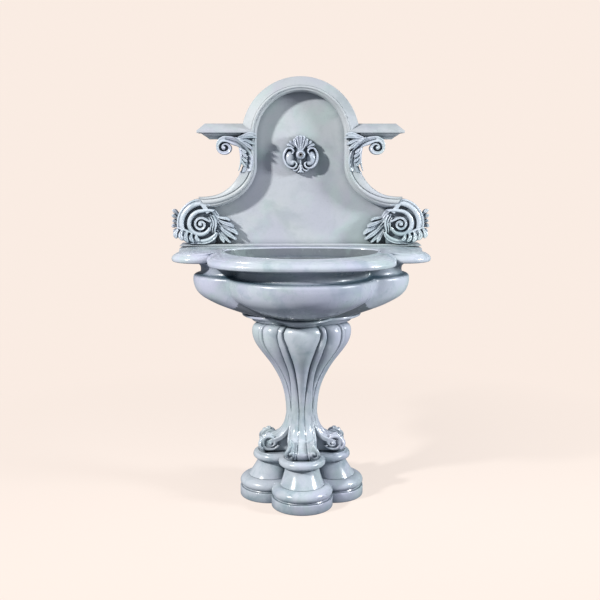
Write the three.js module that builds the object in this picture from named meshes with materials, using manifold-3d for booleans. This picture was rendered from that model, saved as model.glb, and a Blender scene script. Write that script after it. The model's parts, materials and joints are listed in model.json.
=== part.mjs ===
// A carved marble font that stands against a wall: four turned feet, a fluted stem, a lobed basin with a
// lift-out waste plug, and a carved back with an arch, side ledges, scrolls, leaves and a spout rosette.
// Millimetres, +Z up. In the drawing frame x = 0, y = 0 is the stem's axis, -y is the front and the wall is
// at +y; the whole group is then moved so that its origin is the middle of its footprint on the floor.
import * as THREE from "three";
import { LoftGeometry } from "three/addons/geometries/LoftGeometry.js";
import { mergeVertices } from "three/addons/utils/BufferGeometryUtils.js";
import Module from "manifold-3d";

const wasm = await Module();
wasm.setup();

// ---- Driving dimensions ----
const GAP = 0.3; // clearance between touching pieces
const PLINTH_TOP = 38;
const BASE_TOP = 183;
const STEM_TOP = 693;
const COLLAR_TOP = 722;
const BOWL_TOP = 918;
const RIM_TOP = 957;
const SILL_TOP = 965;
const WALL_Y = 350; // plane of the wall
const FIELD_Y = 310; // front of the recessed panel
const CREST_Y = 250; // most forward line of the mouldings round the panel

const FOOT_OFFSET = 125; // from the stem's axis to a foot's centre at the floor
const FOOT_LEAN = 25; // how far each foot's top leans towards the axis
const FOOT_RADIUS = 117.5;
const LEAN_LOW = 82; // height where a foot starts to lean
const LEAN_HIGH = 166;
const BORE_RADIUS = 28; // passage for the drain down through the stem

const RIM_FRONT = { y: -60, a: 352, b: 239, power: 2.3 }; // superellipse of the rim's front
const RIM_WING = { x: 340, y: 130, r: 163 }; // round ends of the rim
const RIM_BACK_HALF = 496;
const SILL_FRONT = 262;
const MOUTH = { y: 110, half: 313, front: 306, rear: 115 }; // two half-ovals that meet at y
const CAVITY_FLOOR = 768;

const ARCH_Z = 1400;
const ARCH_RADIUS = 240;
const ARCH_CREST_RADIUS = 200;
const ARCH_INNER_RADIUS = 178;
const LEDGE_Z = 1414;
const LEDGE_TOP = 1453;
const LEDGE_HALF = 418;
const BED_Z = 1390;
const SPOUT_Z = 1328;
const VOLUTE = { x: 425, z: 1054, r: 87 };

const DOWEL_RADIUS = 6;
const DOWEL_HOLE = DOWEL_RADIUS + GAP;

const FOOT_SIDES = 22;
const PLAN_SIDES = 52;

// ---- Materials ----
function finish(color, roughness, metalness) {
  return new THREE.MeshStandardMaterial({ color, roughness, metalness });
}
const MARBLE = finish(0xc5cbd6, 0.22, 0);
const PANEL_MARBLE = finish(0xc2c7d2, 0.5, 0);
const CARVED_MARBLE = finish(0xb6bfcc, 0.38, 0);
const STEEL = finish(0xb9bcc0, 0.3, 1);
const BRASS = finish(0xb08d4a, 0.3, 1);
const CHROME = finish(0xd5d8dc, 0.12, 1);
const RUBBER = finish(0x1d1d1f, 0.8, 0);

// ---- Solids ----
// Merged, outward-facing manifold solid of a closed geometry.
function toSolid(source) {
  const bare = new THREE.BufferGeometry().copy(source);
  for (const name of Object.keys(bare.attributes)) {
    if (name !== "position") bare.deleteAttribute(name);
  }
  const merged = mergeVertices(bare, 1e-3);
  const triVerts = new Uint32Array(merged.index.array);
  const vertProperties = new Float32Array(merged.attributes.position.array);
  const made = new wasm.Manifold(new wasm.Mesh({ numProp: 3, vertProperties, triVerts }));
  if (made.volume() > 0) return made;
  for (let i = 0; i < triVerts.length; i += 3) {
    [triVerts[i + 1], triVerts[i + 2]] = [triVerts[i + 2], triVerts[i + 1]];
  }
  return new wasm.Manifold(new wasm.Mesh({ numProp: 3, vertProperties, triVerts }));
}

function toGeometry(manifold) {
  const mesh = manifold.getMesh();
  const geometry = new THREE.BufferGeometry();
  geometry.setAttribute("position", new THREE.BufferAttribute(new Float32Array(mesh.vertProperties), 3));
  geometry.setIndex(new THREE.BufferAttribute(new Uint32Array(mesh.triVerts), 1));
  geometry.computeVertexNormals();
  return geometry;
}

const without = (body, ...tools) => tools.reduce((left, tool) => left.subtract(tool), body);
const joined = (first, ...rest) => rest.reduce((left, next) => left.add(next), first);

// Closed solid through rings of points; a looped one runs from the last ring back to the first.
function loft(rings, looped = false) {
  if (looped) return toSolid(new LoftGeometry([...rings, rings[0]]));
  return toSolid(new LoftGeometry(rings, { capStart: true, capEnd: true }));
}

// Ring of points at height z round the vertical line through (0, y), where radius(angle) is its outline.
function ring(z, y, radius, sides = PLAN_SIDES) {
  return Array.from({ length: sides }, (_, i) => {
    const angle = (i / sides) * 2 * Math.PI;
    const r = radius(angle);
    return new THREE.Vector3(r * Math.cos(angle), y + r * Math.sin(angle), z);
  });
}

// Turned geometry about the z axis, from [radius, z] pairs.
function turnedGeometry(profile, sides) {
  const points = profile.map(([r, z]) => new THREE.Vector2(r, z));
  return new THREE.LatheGeometry(points, sides).rotateX(Math.PI / 2);
}

const turned = (profile, sides) => toSolid(turnedGeometry(profile, sides));

// Upright cylinder between two heights.
function post(radius, low, high, x = 0, y = 0, sides = 16) {
  const geometry = new THREE.CylinderGeometry(radius, radius, high - low, sides).rotateX(Math.PI / 2);
  return toSolid(geometry.translate(x, y, (low + high) / 2));
}

// Pair of upright dowel holes on both sides of the middle.
const dowelHoles = (x, low, high, y = 0) => [-x, x].map((at) => post(DOWEL_HOLE, low, high, at, y, 10));

// Cylinder that runs front to back.
function bar(radius, front, back, x, z, sides = 16) {
  const geometry = new THREE.CylinderGeometry(radius, radius, back - front, sides);
  return toSolid(geometry.translate(x, (front + back) / 2, z));
}

function block([x0, x1], [y0, y1], [z0, z1]) {
  const geometry = new THREE.BoxGeometry(x1 - x0, y1 - y0, z1 - z0);
  return toSolid(geometry.translate((x0 + x1) / 2, (y0 + y1) / 2, (z0 + z1) / 2));
}

// Outline drawn in x and z, extruded from the front plane to the back plane.
function slab(shape, front, back, curveSegments = 10) {
  const settings = { depth: back - front, bevelEnabled: false, curveSegments };
  const geometry = new THREE.ExtrudeGeometry(shape, settings);
  return toSolid(geometry.rotateX(Math.PI / 2).translate(0, back, 0));
}

// ---- Outlines in plan ----
// Distance from (0, fromY) along an angle to the far side of a circle, or 0 where it misses.
function reach(angle, fromY, circle) {
  const dx = circle.x;
  const dy = circle.y - fromY;
  const along = dx * Math.cos(angle) + dy * Math.sin(angle);
  const square = circle.r ** 2 - (dx ** 2 + dy ** 2 - along ** 2);
  return square > 0 ? along + Math.sqrt(square) : 0;
}

const mirroredPair = (circle) => [circle, { ...circle, x: -circle.x }];

// Four overlapping discs, one for each foot.
function quatrefoil(inset) {
  const discs = [0, 1, 2, 3].map((quarter) => ({
    x: FOOT_OFFSET * Math.cos((quarter * Math.PI) / 2),
    y: FOOT_OFFSET * Math.sin((quarter * Math.PI) / 2),
    r: FOOT_RADIUS - inset,
  }));
  return (angle) => Math.max(...discs.map((disc) => reach(angle, 0, disc)));
}

// Plan of the collar (spread 0) and of the bowl's widest line (spread 1): a front lobe, two side lobes and
// two between them that fill the back.
const BOWL_AXIS_Y = 60;
function bowlPlan(spread, inset = 0) {
  const front = { x: 0, y: -52.6 + 45.2 * spread, r: 112.4 + 170 * spread - inset };
  const side = { x: 81 + 169.5 * spread, y: 60 + 35 * spread, r: 152 + 18.5 * spread - inset };
  const lobes = [front, ...mirroredPair(side), ...mirroredPair({ ...side, x: side.x / 2 })];
  return (angle) => Math.max(...lobes.map((lobe) => reach(angle, BOWL_AXIS_Y, lobe)));
}

// Mouth of the rim, flatter at the back than at the front.
function mouthPlan(grow = 0) {
  const half = MOUTH.half + grow;
  return (angle) => {
    const offset = BOWL_AXIS_Y - MOUTH.y;
    const hit = (depth) => {
      const square = (Math.cos(angle) / half) ** 2 + (Math.sin(angle) / depth) ** 2;
      const linear = (offset * Math.sin(angle)) / depth ** 2;
      return (-linear + Math.sqrt(linear ** 2 - square * ((offset / depth) ** 2 - 1))) / square;
    };
    const ahead = hit(MOUTH.front + grow);
    return BOWL_AXIS_Y + ahead * Math.sin(angle) < MOUTH.y ? ahead : hit(MOUTH.rear + grow);
  };
}

// Inside of the bowl at a depth: the mouth drawn in by an inset, and never nearer the outside than the wall.
const WALL = 54;
function cavityPlan(inset) {
  const mouth = mouthPlan(-inset);
  const shell = bowlPlan(1, WALL + inset);
  return (angle) => Math.min(mouth(angle), shell(angle));
}

function rimPlan(grow) {
  const { a, b, power, y } = RIM_FRONT;
  const wings = mirroredPair({ ...RIM_WING, r: RIM_WING.r + grow });
  return (angle) => {
    const across = Math.abs(Math.cos(angle) / (a + grow)) ** power;
    const ahead = Math.abs(Math.sin(angle) / (b + grow)) ** power;
    return Math.max((across + ahead) ** (-1 / power), ...wings.map((wing) => reach(angle, y, wing)));
  };
}

// ---- Pedestal ----
function plinthSlab() {
  const bore = () => BORE_RADIUS;
  const rings = [ring(0, 0, bore), ring(0, 0, quatrefoil(2)), ring(4, 0, quatrefoil(0))];
  rings.push(ring(PLINTH_TOP - 4, 0, quatrefoil(0)), ring(PLINTH_TOP, 0, quatrefoil(3)));
  rings.push(ring(PLINTH_TOP, 0, bore));
  return loft(rings, true);
}

// One turned foot, standing at the front and leaning back towards the stem's axis.
function foot(quarter) {
  const low = PLINTH_TOP + GAP;
  const profile = [[0, low], [109, low], [115, 46], [FOOT_RADIUS - 1, 58], [112, 72], [97, 80], [81, 82]];
  profile.push([73, 100], [65, 130], [64, 150], [82, 156], [90, 166], [85, 177], [72, 183], [0, BASE_TOP]);
  const geometry = turnedGeometry(profile, FOOT_SIDES);
  const place = geometry.attributes.position;
  for (let i = 0; i < place.count; i += 1) {
    const lean = FOOT_LEAN * THREE.MathUtils.clamp((place.getZ(i) - LEAN_LOW) / (LEAN_HIGH - LEAN_LOW), 0, 1);
    place.setX(i, place.getX(i) + FOOT_OFFSET - lean);
  }
  return toSolid(geometry.rotateZ((quarter * Math.PI) / 2));
}

const BASE_DOWEL_X = 52;
function baseBlock() {
  const core = post(84, PLINTH_TOP + GAP, BASE_TOP, 0, 0, 24);
  const all = joined(core, foot(0), foot(1), foot(2), foot(3));
  const holes = dowelHoles(BASE_DOWEL_X, BASE_TOP - 30, BASE_TOP + 5);
  return without(all, post(BORE_RADIUS, 0, BASE_TOP + 5), ...holes);
}

// Half-widths of the stem, as [z, side, front].
const STEM_LINE = [
  [BASE_TOP + GAP, 66, 66], [228, 72, 72], [262, 68, 68], [318, 57, 57], [359, 59, 59], [419, 75, 73],
  [499, 117, 104], [579, 169, 136], [636, 186, 146], [672, 184, 144], [STEM_TOP, 168, 136],
];
function stemBody(grow = 0) {
  const plan = (side, front) => (angle) => {
    const flute = 1 - 0.035 * (1 - Math.cos(8 * angle));
    const around = (Math.cos(angle) / (side + grow)) ** 2 + (Math.sin(angle) / (front + grow)) ** 2;
    return flute / Math.sqrt(around);
  };
  return loft(STEM_LINE.map(([z, side, front]) => ring(z, 0, plan(side, front), 48)));
}

const TOP_DOWEL_X = 90;
function stem() {
  const bore = post(BORE_RADIUS, BASE_TOP - 5, STEM_TOP + 5);
  const low = dowelHoles(BASE_DOWEL_X, BASE_TOP - 5, BASE_TOP + 31);
  const high = dowelHoles(TOP_DOWEL_X, STEM_TOP - 31, STEM_TOP + 5);
  return without(stemBody(), bore, ...low, ...high);
}

// Scroll that rolls out of the stem on to a foot, drawn in the radial plane and as wide as the leg.
const SCROLL = { out: 114, z: 224.5, r: 41, width: 78 };
function footScroll(quarter) {
  const { out, z, r, width } = SCROLL;
  const shape = new THREE.Shape().moveTo(50, z - r);
  shape.lineTo(out, z - r);
  shape.absarc(out, z, r, -Math.PI / 2, Math.PI / 2, false);
  shape.quadraticCurveTo(68, z + r + 6, 56, 330);
  shape.lineTo(50, 330);
  const geometry = new THREE.ExtrudeGeometry(shape, { depth: width, bevelEnabled: false, curveSegments: 8 });
  geometry.translate(0, 0, -width / 2).rotateX(Math.PI / 2).rotateZ((quarter * Math.PI) / 2);
  return toSolid(geometry).subtract(stemBody(GAP));
}

// ---- Basin ----
const COLLAR_BORE = 46;
function collar() {
  const low = STEM_TOP + GAP;
  const bore = () => COLLAR_BORE;
  const edge = [[low, -0.17], [low + 6, -0.1], [low + 16, -0.03], [COLLAR_TOP, 0]];
  const outside = edge.map(([z, spread]) => ring(z, BOWL_AXIS_Y, bowlPlan(spread)));
  const rings = [ring(low, 0, bore), ...outside, ring(COLLAR_TOP, 0, bore)];
  const holes = dowelHoles(TOP_DOWEL_X, low - 5, COLLAR_TOP + 5);
  return without(loft(rings, true), ...holes);
}

// The belly swells from the collar to its widest line, then draws in to a hollow neck under the rim.
const BELLY_TOP = 873;
const WASTE_BORE = 24;
function basinBowl() {
  const low = COLLAR_TOP + GAP;
  const plan = (z, spread, inset) => ring(z, BOWL_AXIS_Y, bowlPlan(spread, inset), PLAN_SIDES);
  const rings = [plan(low, -0.02, 0)];
  for (const part of [0.05, 0.15, 0.3, 0.5, 0.75, 1]) {
    rings.push(plan(low + (BELLY_TOP - low) * part, (1 - (1 - part) ** 1.6) ** 0.556, 0));
  }
  rings.push(plan(BELLY_TOP + 3, 1, 10), plan(888, 1, 24), plan(904, 1, 24), plan(BOWL_TOP, 1, 8));
  for (const [z, inset] of [[BOWL_TOP, 0], [872, 4], [822, 28], [790, 62], [774, 104]]) {
    rings.push(ring(z, BOWL_AXIS_Y, cavityPlan(inset)));
  }
  rings.push(ring(CAVITY_FLOOR, 0, () => 50));
  rings.push(ring(CAVITY_FLOOR, 0, () => WASTE_BORE), ring(low, 0, () => WASTE_BORE));
  const dowels = dowelHoles(TOP_DOWEL_X, low - 5, low + 24);
  return without(loft(rings, true), ...dowels, ...rimDowelHoles());
}

const RIM_DOWEL = { x: 376, y: 110, low: 898, high: 940 };
const rimDowelHoles = () => dowelHoles(RIM_DOWEL.x, RIM_DOWEL.low - 1, RIM_DOWEL.high + 1, RIM_DOWEL.y);

const PANEL_DOWEL = { x: 300, y: 330, low: 932, high: 992 };
const panelDowelHoles = () =>
  dowelHoles(PANEL_DOWEL.x, PANEL_DOWEL.low - 1, PANEL_DOWEL.high + 1, PANEL_DOWEL.y);

function basinRim() {
  const low = BOWL_TOP + GAP;
  const rise = RIM_TOP - low;
  const edge = [[0, -10], [0.12, -1], [0.35, 2], [0.6, -2], [0.85, -14], [1, -34]];
  const lobes = loft(edge.map(([part, grow]) => ring(low + rise * part, RIM_FRONT.y, rimPlan(grow), 72)));
  const back = block([-RIM_BACK_HALF, RIM_BACK_HALF], [150, WALL_Y], [low, RIM_TOP]);
  const mouth = loft([ring(low - 1, BOWL_AXIS_Y, mouthPlan()), ring(RIM_TOP + 1, BOWL_AXIS_Y, mouthPlan(3))]);
  return without(joined(lobes, back), mouth, ...rimDowelHoles(), ...panelDowelHoles());
}

// ---- Waste ----
const FLANGE_TOP = CAVITY_FLOOR + 5;
const PLUG_TOP = FLANGE_TOP + 9;
const WASTE_THREAD = 22;
const WASTE_LOW = 694;
const FLANGE_RADIUS = 36;
const TAIL_TOP = 692;
const NUT_TOP = COLLAR_TOP - 6;
function wasteFlange() {
  const under = CAVITY_FLOOR + GAP;
  const profile = [[17, WASTE_LOW], [WASTE_THREAD, WASTE_LOW], [WASTE_THREAD, under], [FLANGE_RADIUS, under]];
  profile.push([FLANGE_RADIUS, FLANGE_TOP - 2], [FLANGE_RADIUS - 3, FLANGE_TOP], [25, FLANGE_TOP]);
  profile.push([19, FLANGE_TOP - 10], [17, FLANGE_TOP - 12]);
  return turned([...profile, profile[0]], 32);
}

const tube = (inner, outer, low, high, sides = 24) =>
  turned([[inner, low], [outer, low], [outer, high], [inner, high], [inner, low]], sides);

const wasteWasher = () => tube(WASTE_THREAD + GAP, FLANGE_RADIUS, NUT_TOP + 1, COLLAR_TOP - GAP);
function wasteNut() {
  const hole = post(WASTE_THREAD + GAP, WASTE_LOW, COLLAR_TOP, 0, 0, 24);
  return post(40, NUT_TOP - 13, NUT_TOP, 0, 0, 6).subtract(hole);
}
const wasteTail = () => tube(18, 21, 1, TAIL_TOP);

// The plug lifts straight out of the flange's cone by its knob.
function wastePlug() {
  const seat = FLANGE_TOP - 8;
  const groove = [[15, seat + 3.5], [15, FLANGE_TOP - 1.3]];
  const head = [[20, FLANGE_TOP - 1], [27, FLANGE_TOP + 3], [25, PLUG_TOP - 3], [9, PLUG_TOP], [0, PLUG_TOP]];
  return turned([[0, seat], [15, seat], ...groove, ...head], 24);
}
const plugSeal = () => tube(15.5, 22, FLANGE_TOP - 4.2, FLANGE_TOP - 1.6, 24);
function plugKnob() {
  const low = PLUG_TOP + GAP;
  const neck = [[0, low], [8, low], [5, low + 6], [5, low + 10]];
  return turned([...neck, [11, low + 17], [9, low + 24], [0, low + 26]], 16);
}

// ---- Carved back ----
const mirrorPath = (points) => points.map(([x, z]) => [-x, z]).reverse();

function panelShape() {
  const sweep = new THREE.EllipseCurve(402, 1290, 192, 150, Math.PI, 1.44 * Math.PI);
  const right = [[440, SILL_TOP + GAP], [440, 1070], ...sweep.getPoints(9).reverse().map((p) => [p.x, p.y])];
  right.push([210, 1388], [225, ARCH_Z]);
  const arch = new THREE.EllipseCurve(0, ARCH_Z, ARCH_RADIUS - 2, ARCH_RADIUS - 2, 0.05, Math.PI - 0.05);
  const top = arch.getPoints(28).map((p) => [p.x, p.y]);
  const outline = [...right, ...top, ...mirrorPath(right)];
  return new THREE.Shape(outline.map(([x, z]) => new THREE.Vector2(x, z)));
}

const CRAMP = { x: 120, z: 1560, width: 40, height: 70, depth: 4 };
const SUPPLY_RADIUS = 10;
const SUPPLY_HOLE = SUPPLY_RADIUS + GAP;
const NUT_ROOM = { radius: 24, depth: 20 }; // counterbore in the panel's back for the supply nut
function backPanel() {
  const { x, z, width, height, depth } = CRAMP;
  const pockets = [-1, 1].map((side) =>
    block([side * x - width / 2 - GAP, side * x + width / 2 + GAP], [WALL_Y - depth - GAP, WALL_Y + 1],
      [z - height / 2 - GAP, z + height / 2 + GAP]));
  const nutRoom = bar(NUT_ROOM.radius, WALL_Y - NUT_ROOM.depth, WALL_Y + 1, 0, SPOUT_Z, 20);
  const hole = bar(SUPPLY_HOLE, FIELD_Y - 5, WALL_Y, 0, SPOUT_Z, 16);
  return without(slab(panelShape(), FIELD_Y, WALL_Y), ...pockets, nutRoom, hole, ...panelDowelHoles());
}

function sill() {
  const low = RIM_TOP + GAP;
  const board = block([-RIM_BACK_HALF, RIM_BACK_HALF], [SILL_FRONT, WALL_Y], [low, SILL_TOP]);
  return without(board, ...panelDowelHoles());
}

// Half-ring round the panel: an outer band that slopes back to the wall, a crest line and an inner bead.
function archMoulding() {
  const [inner, back] = [ARCH_INNER_RADIUS, FIELD_Y - GAP];
  const bead = [[inner, back], [inner, 268], [inner + 6, 257], [196, 254], [ARCH_CREST_RADIUS, CREST_Y]];
  const section = [...bead, [ARCH_RADIUS, 296], [ARCH_RADIUS, back]];
  const steps = 24;
  const rings = Array.from({ length: steps + 1 }, (_, i) => {
    const angle = (Math.PI * i) / steps;
    return section.map(([r, y]) => new THREE.Vector3(r * Math.cos(angle), y, ARCH_Z + r * Math.sin(angle)));
  });
  return loft(rings);
}

// Level rectangle from the wall to a front line.
function rectangle(z, inner, outer, front) {
  const corners = [[inner, front], [outer, front], [outer, WALL_Y], [inner, WALL_Y]];
  return corners.map(([x, y]) => new THREE.Vector3(x, y, z));
}

// Shelf at the arch's foot, with a weathered top that slopes down from the wall and a hip at its end.
function ledge() {
  const inner = 190;
  const rings = [LEDGE_Z, LEDGE_Z + 4].map((z) => rectangle(z, inner, LEDGE_HALF, CREST_Y));
  rings.push(rectangle(LEDGE_TOP, inner, LEDGE_HALF - 31, 306));
  return loft(rings).subtract(bar(ARCH_RADIUS + GAP, 200, 400, 0, ARCH_Z, 72));
}

function bedMoulding() {
  const inner = ARCH_RADIUS + 1;
  const section = [[BED_Z, 372, 280], [BED_Z + 10, 376, 276], [LEDGE_Z - GAP, 400, 262]];
  return loft(section.map(([z, outer, front]) => rectangle(z, inner, outer, front)));
}

// Moulding down the neck and out along the concave sweep to the volute.
function sideMoulding() {
  const shape = new THREE.Shape().moveTo(179, ARCH_Z - GAP);
  shape.lineTo(205, ARCH_Z - GAP);
  shape.lineTo(205, 1310);
  shape.lineTo(215, 1290);
  shape.absellipse(412, 1290, 197, 133, Math.PI, 1.5 * Math.PI, false);
  shape.lineTo(386, 1102);
  shape.absellipse(400, 1290, 221, 189, 1.48 * Math.PI, Math.PI, true);
  return slab(shape, 254, FIELD_Y - GAP, 8);
}

const BRACKET_FRONT = CREST_Y - 4;
// Band that springs from the neck, arches out under the ledge and rolls into a small volute.
function scrollBracket() {
  const shape = new THREE.Shape().moveTo(216, 1300);
  shape.lineTo(205.4, 1311);
  shape.lineTo(205.4, 1389);
  shape.quadraticCurveTo(262, 1402, 308, 1400);
  shape.absarc(314, 1361, 38, 1.6, -0.2, true);
  shape.absarc(314, 1354, 29, 0, -Math.PI / 2, true);
  shape.quadraticCurveTo(290, 1326, 286, 1352);
  shape.quadraticCurveTo(276, 1364, 262, 1354);
  shape.quadraticCurveTo(246, 1338, 246, 1296);
  const room = block([240, 420], [261, 400], [BED_Z - GAP, 1420]);
  return slab(shape, BRACKET_FRONT, FIELD_Y - GAP, 8).subtract(room);
}

// Large volute at the foot of the back, with a raised coil.
const COIL = { x: 407, z: 1040, r: 29 };
function volute() {
  const shape = new THREE.Shape().moveTo(350, SILL_TOP + GAP);
  shape.lineTo(425, SILL_TOP + GAP);
  shape.absarc(VOLUTE.x, VOLUTE.z, VOLUTE.r, -Math.PI / 2, 0.55 * Math.PI, false);
  shape.lineTo(392, 1098);
  shape.quadraticCurveTo(345, 1090, 345, 1040);
  const coil = bar(COIL.r, 240, 260, COIL.x, COIL.z, 20);
  return joined(slab(shape, 256, FIELD_Y - GAP), coil);
}

// ---- Leaves ----
// Leaf blade from a root to a tip with a scalloped edge, as wide as given on each side of its rib.
function leafShape(root, tip, width, lobes) {
  const rib = new THREE.Vector2(tip[0] - root[0], tip[1] - root[1]);
  const length = rib.length();
  const along = rib.clone().divideScalar(length);
  const across = new THREE.Vector2(-along.y, along.x);
  const steps = lobes * 4;
  const edge = (side) =>
    Array.from({ length: steps - 1 }, (_, i) => {
      const part = (i + 1) / steps;
      const swell = Math.sin(Math.PI * part ** 0.8);
      const scallop = 0.82 + 0.18 * Math.cos(2 * Math.PI * lobes * part);
      return [part * length, side * width * swell * scallop];
    });
  const outline = [[0, 0], ...edge(-1), [length, 0], ...edge(1).reverse()];
  const place = ([u, v]) => new THREE.Vector2(...root).addScaledVector(along, u).addScaledVector(across, v);
  return new THREE.Shape(outline.map(place));
}

const leafUpper = () => slab(leafShape([232, 1386], [172, 1350], 22, 3), 236, BRACKET_FRONT - GAP);
const leafNeck = () => slab(leafShape([232, 1368], [238, 1264], 15, 3), 236, BRACKET_FRONT - GAP);
const leafInner = () => slab(leafShape([343, 1075], [256, 990], 36, 4), 274, FIELD_Y - GAP);

// Leaf that wraps the volute's outer edge.
function leafOuter() {
  const { x, z, r } = VOLUTE;
  const shape = new THREE.Shape().absarc(x, z, r + 22, -0.28 * Math.PI, 0.17 * Math.PI, false);
  shape.absarc(x, z, r + GAP * 2, 0.17 * Math.PI, -0.28 * Math.PI, true);
  return slab(shape, 262, 300);
}

// ---- Spout ----
const WATERWAY = 5.5; // radius of the bore that the water runs through
const NOZZLE_RADIUS = 9;
const ROSETTE_FRONT = 272;
function rosette() {
  const right = [[30, -60], [56, -46], [69, -16], [64, 20], [56, 42], [34, 60], [22, 76]];
  const outline = [[0, -77], ...right, [0, 84], ...mirrorPath(right)];
  const shape = new THREE.Shape(outline.map(([x, z]) => new THREE.Vector2(x, SPOUT_Z + z)));
  const body = slab(shape, ROSETTE_FRONT, FIELD_Y - GAP);
  const boss = bar(22, CREST_Y, ROSETTE_FRONT + 8, 0, SPOUT_Z, 20);
  return without(joined(body, boss), bar(NOZZLE_RADIUS + GAP, 240, 320, 0, SPOUT_Z));
}

function pipe(inner, outer, front, back, sides = 16) {
  return bar(outer, front, back, 0, SPOUT_Z, sides).subtract(bar(inner, front - 1, back + 1, 0, SPOUT_Z, 16));
}
const spoutNozzle = () => pipe(WATERWAY, NOZZLE_RADIUS, 247, FIELD_Y - GAP);
const supplyPipe = () => pipe(WATERWAY, SUPPLY_RADIUS, FIELD_Y, WALL_Y);
const NUT_FRONT = WALL_Y - 17;
const supplyWasher = () => pipe(SUPPLY_HOLE, 20, WALL_Y - NUT_ROOM.depth + GAP, NUT_FRONT, 20);
const supplyNut = () => pipe(SUPPLY_HOLE, 17, NUT_FRONT + GAP, WALL_Y - 6, 6);

// ---- Dowels and cramps ----
const baseDowel = (side) => post(DOWEL_RADIUS, BASE_TOP - 29, BASE_TOP + 30, side * BASE_DOWEL_X, 0, 10);
const collarDowel = (side) => post(DOWEL_RADIUS, STEM_TOP - 30, COLLAR_TOP + 23, side * TOP_DOWEL_X, 0, 10);
function rimDowel(side) {
  const { x, y, low, high } = RIM_DOWEL;
  return post(DOWEL_RADIUS, low, high, side * x, y, 10);
}
function panelDowel(side) {
  const { x, y, low, high } = PANEL_DOWEL;
  return post(DOWEL_RADIUS, low, high, side * x, y, 10);
}
function wallCramp(side) {
  const { x, z, width, height, depth } = CRAMP;
  const across = [side * x - width / 2, side * x + width / 2];
  return block(across, [WALL_Y - depth, WALL_Y], [z - height / 2, z + height / 2]);
}

// ---- Assembly ----
const font = new THREE.Group();

function add(name, body, material) {
  const mesh = new THREE.Mesh(toGeometry(body), material);
  mesh.name = name;
  font.add(mesh);
  return mesh;
}

// Adds a right-hand piece and its mirror image on the left.
function addPair(name, body, material) {
  const right = add(`${name}_right`, body, material);
  const left = new THREE.Mesh(right.geometry, material);
  left.name = `${name}_left`;
  left.scale.x = -1;
  font.add(left);
}

add("plinth_slab", plinthSlab(), MARBLE);
add("base_block", baseBlock(), MARBLE);
add("stem", stem(), MARBLE);
["right", "back", "left", "front"].forEach((name, quarter) => {
  add(`foot_scroll_${name}`, footScroll(quarter), MARBLE);
});
add("collar", collar(), MARBLE);
add("basin_bowl", basinBowl(), MARBLE);
add("basin_rim", basinRim(), MARBLE);

add("waste_flange", wasteFlange(), CHROME);
add("waste_washer", wasteWasher(), RUBBER);
add("waste_nut", wasteNut(), BRASS);
add("waste_tail", wasteTail(), BRASS);
add("waste_plug", wastePlug(), CHROME);
add("plug_seal", plugSeal(), RUBBER);
add("plug_knob", plugKnob(), CHROME);

add("sill", sill(), PANEL_MARBLE);
add("back_panel", backPanel(), PANEL_MARBLE);
add("arch_moulding", archMoulding(), PANEL_MARBLE);
addPair("ledge", ledge(), PANEL_MARBLE);
addPair("bed_moulding", bedMoulding(), PANEL_MARBLE);
addPair("side_moulding", sideMoulding(), PANEL_MARBLE);
addPair("scroll_bracket", scrollBracket(), CARVED_MARBLE);
addPair("volute", volute(), CARVED_MARBLE);
addPair("leaf_upper", leafUpper(), CARVED_MARBLE);
addPair("leaf_neck", leafNeck(), CARVED_MARBLE);
addPair("leaf_inner", leafInner(), CARVED_MARBLE);
addPair("leaf_outer", leafOuter(), CARVED_MARBLE);

add("rosette", rosette(), CARVED_MARBLE);
add("spout_nozzle", spoutNozzle(), STEEL);
add("supply_pipe", supplyPipe(), BRASS);
add("supply_washer", supplyWasher(), RUBBER);
add("supply_nut", supplyNut(), BRASS);

for (const [name, side] of [["left", -1], ["right", 1]]) {
  add(`base_dowel_${name}`, baseDowel(side), STEEL);
  add(`collar_dowel_${name}`, collarDowel(side), STEEL);
  add(`rim_dowel_${name}`, rimDowel(side), STEEL);
  add(`panel_dowel_${name}`, panelDowel(side), STEEL);
  add(`wall_cramp_${name}`, wallCramp(side), STEEL);
}

// Middle of the footprint, halfway between the rim's front edge and the wall.
const footprint = new THREE.Box3().setFromObject(font);
font.position.y = -(footprint.min.y + footprint.max.y) / 2;

export default font;
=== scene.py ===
"""Carved marble wall font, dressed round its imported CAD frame.

Shapes are worked out in millimetres in a drawing frame whose x = 0, y = 0 is the stem's axis, and place()
moves them into the row frame in metres.
"""
import json
import math

import bmesh
import bpy
import numpy as np
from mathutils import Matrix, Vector


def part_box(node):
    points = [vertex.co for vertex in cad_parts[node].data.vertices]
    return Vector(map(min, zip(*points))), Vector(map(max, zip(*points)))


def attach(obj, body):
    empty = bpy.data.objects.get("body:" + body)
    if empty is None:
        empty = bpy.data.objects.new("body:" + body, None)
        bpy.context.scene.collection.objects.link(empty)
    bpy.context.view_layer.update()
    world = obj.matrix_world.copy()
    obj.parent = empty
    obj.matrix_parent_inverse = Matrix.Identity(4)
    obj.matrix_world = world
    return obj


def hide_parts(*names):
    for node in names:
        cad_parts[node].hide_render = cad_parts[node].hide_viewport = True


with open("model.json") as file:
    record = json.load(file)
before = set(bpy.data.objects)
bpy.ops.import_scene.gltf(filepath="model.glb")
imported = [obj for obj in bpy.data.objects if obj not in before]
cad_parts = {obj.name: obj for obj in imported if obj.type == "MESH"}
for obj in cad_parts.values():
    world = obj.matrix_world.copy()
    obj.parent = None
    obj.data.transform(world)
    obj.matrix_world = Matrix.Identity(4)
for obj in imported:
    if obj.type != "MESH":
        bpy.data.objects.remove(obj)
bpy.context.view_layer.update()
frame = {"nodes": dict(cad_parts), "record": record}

MM = 0.001
WELD = 2e-5  # metres
GAP = 0.3  # between neighbouring stones
FONT = "font"
PLUG = "plug"


def middle(node, axis):
    low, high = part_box(node)
    return (low[axis] + high[axis]) / 2


def low_of(node, axis=2):
    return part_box(node)[0][axis] / MM


def high_of(node, axis=2):
    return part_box(node)[1][axis] / MM


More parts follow.
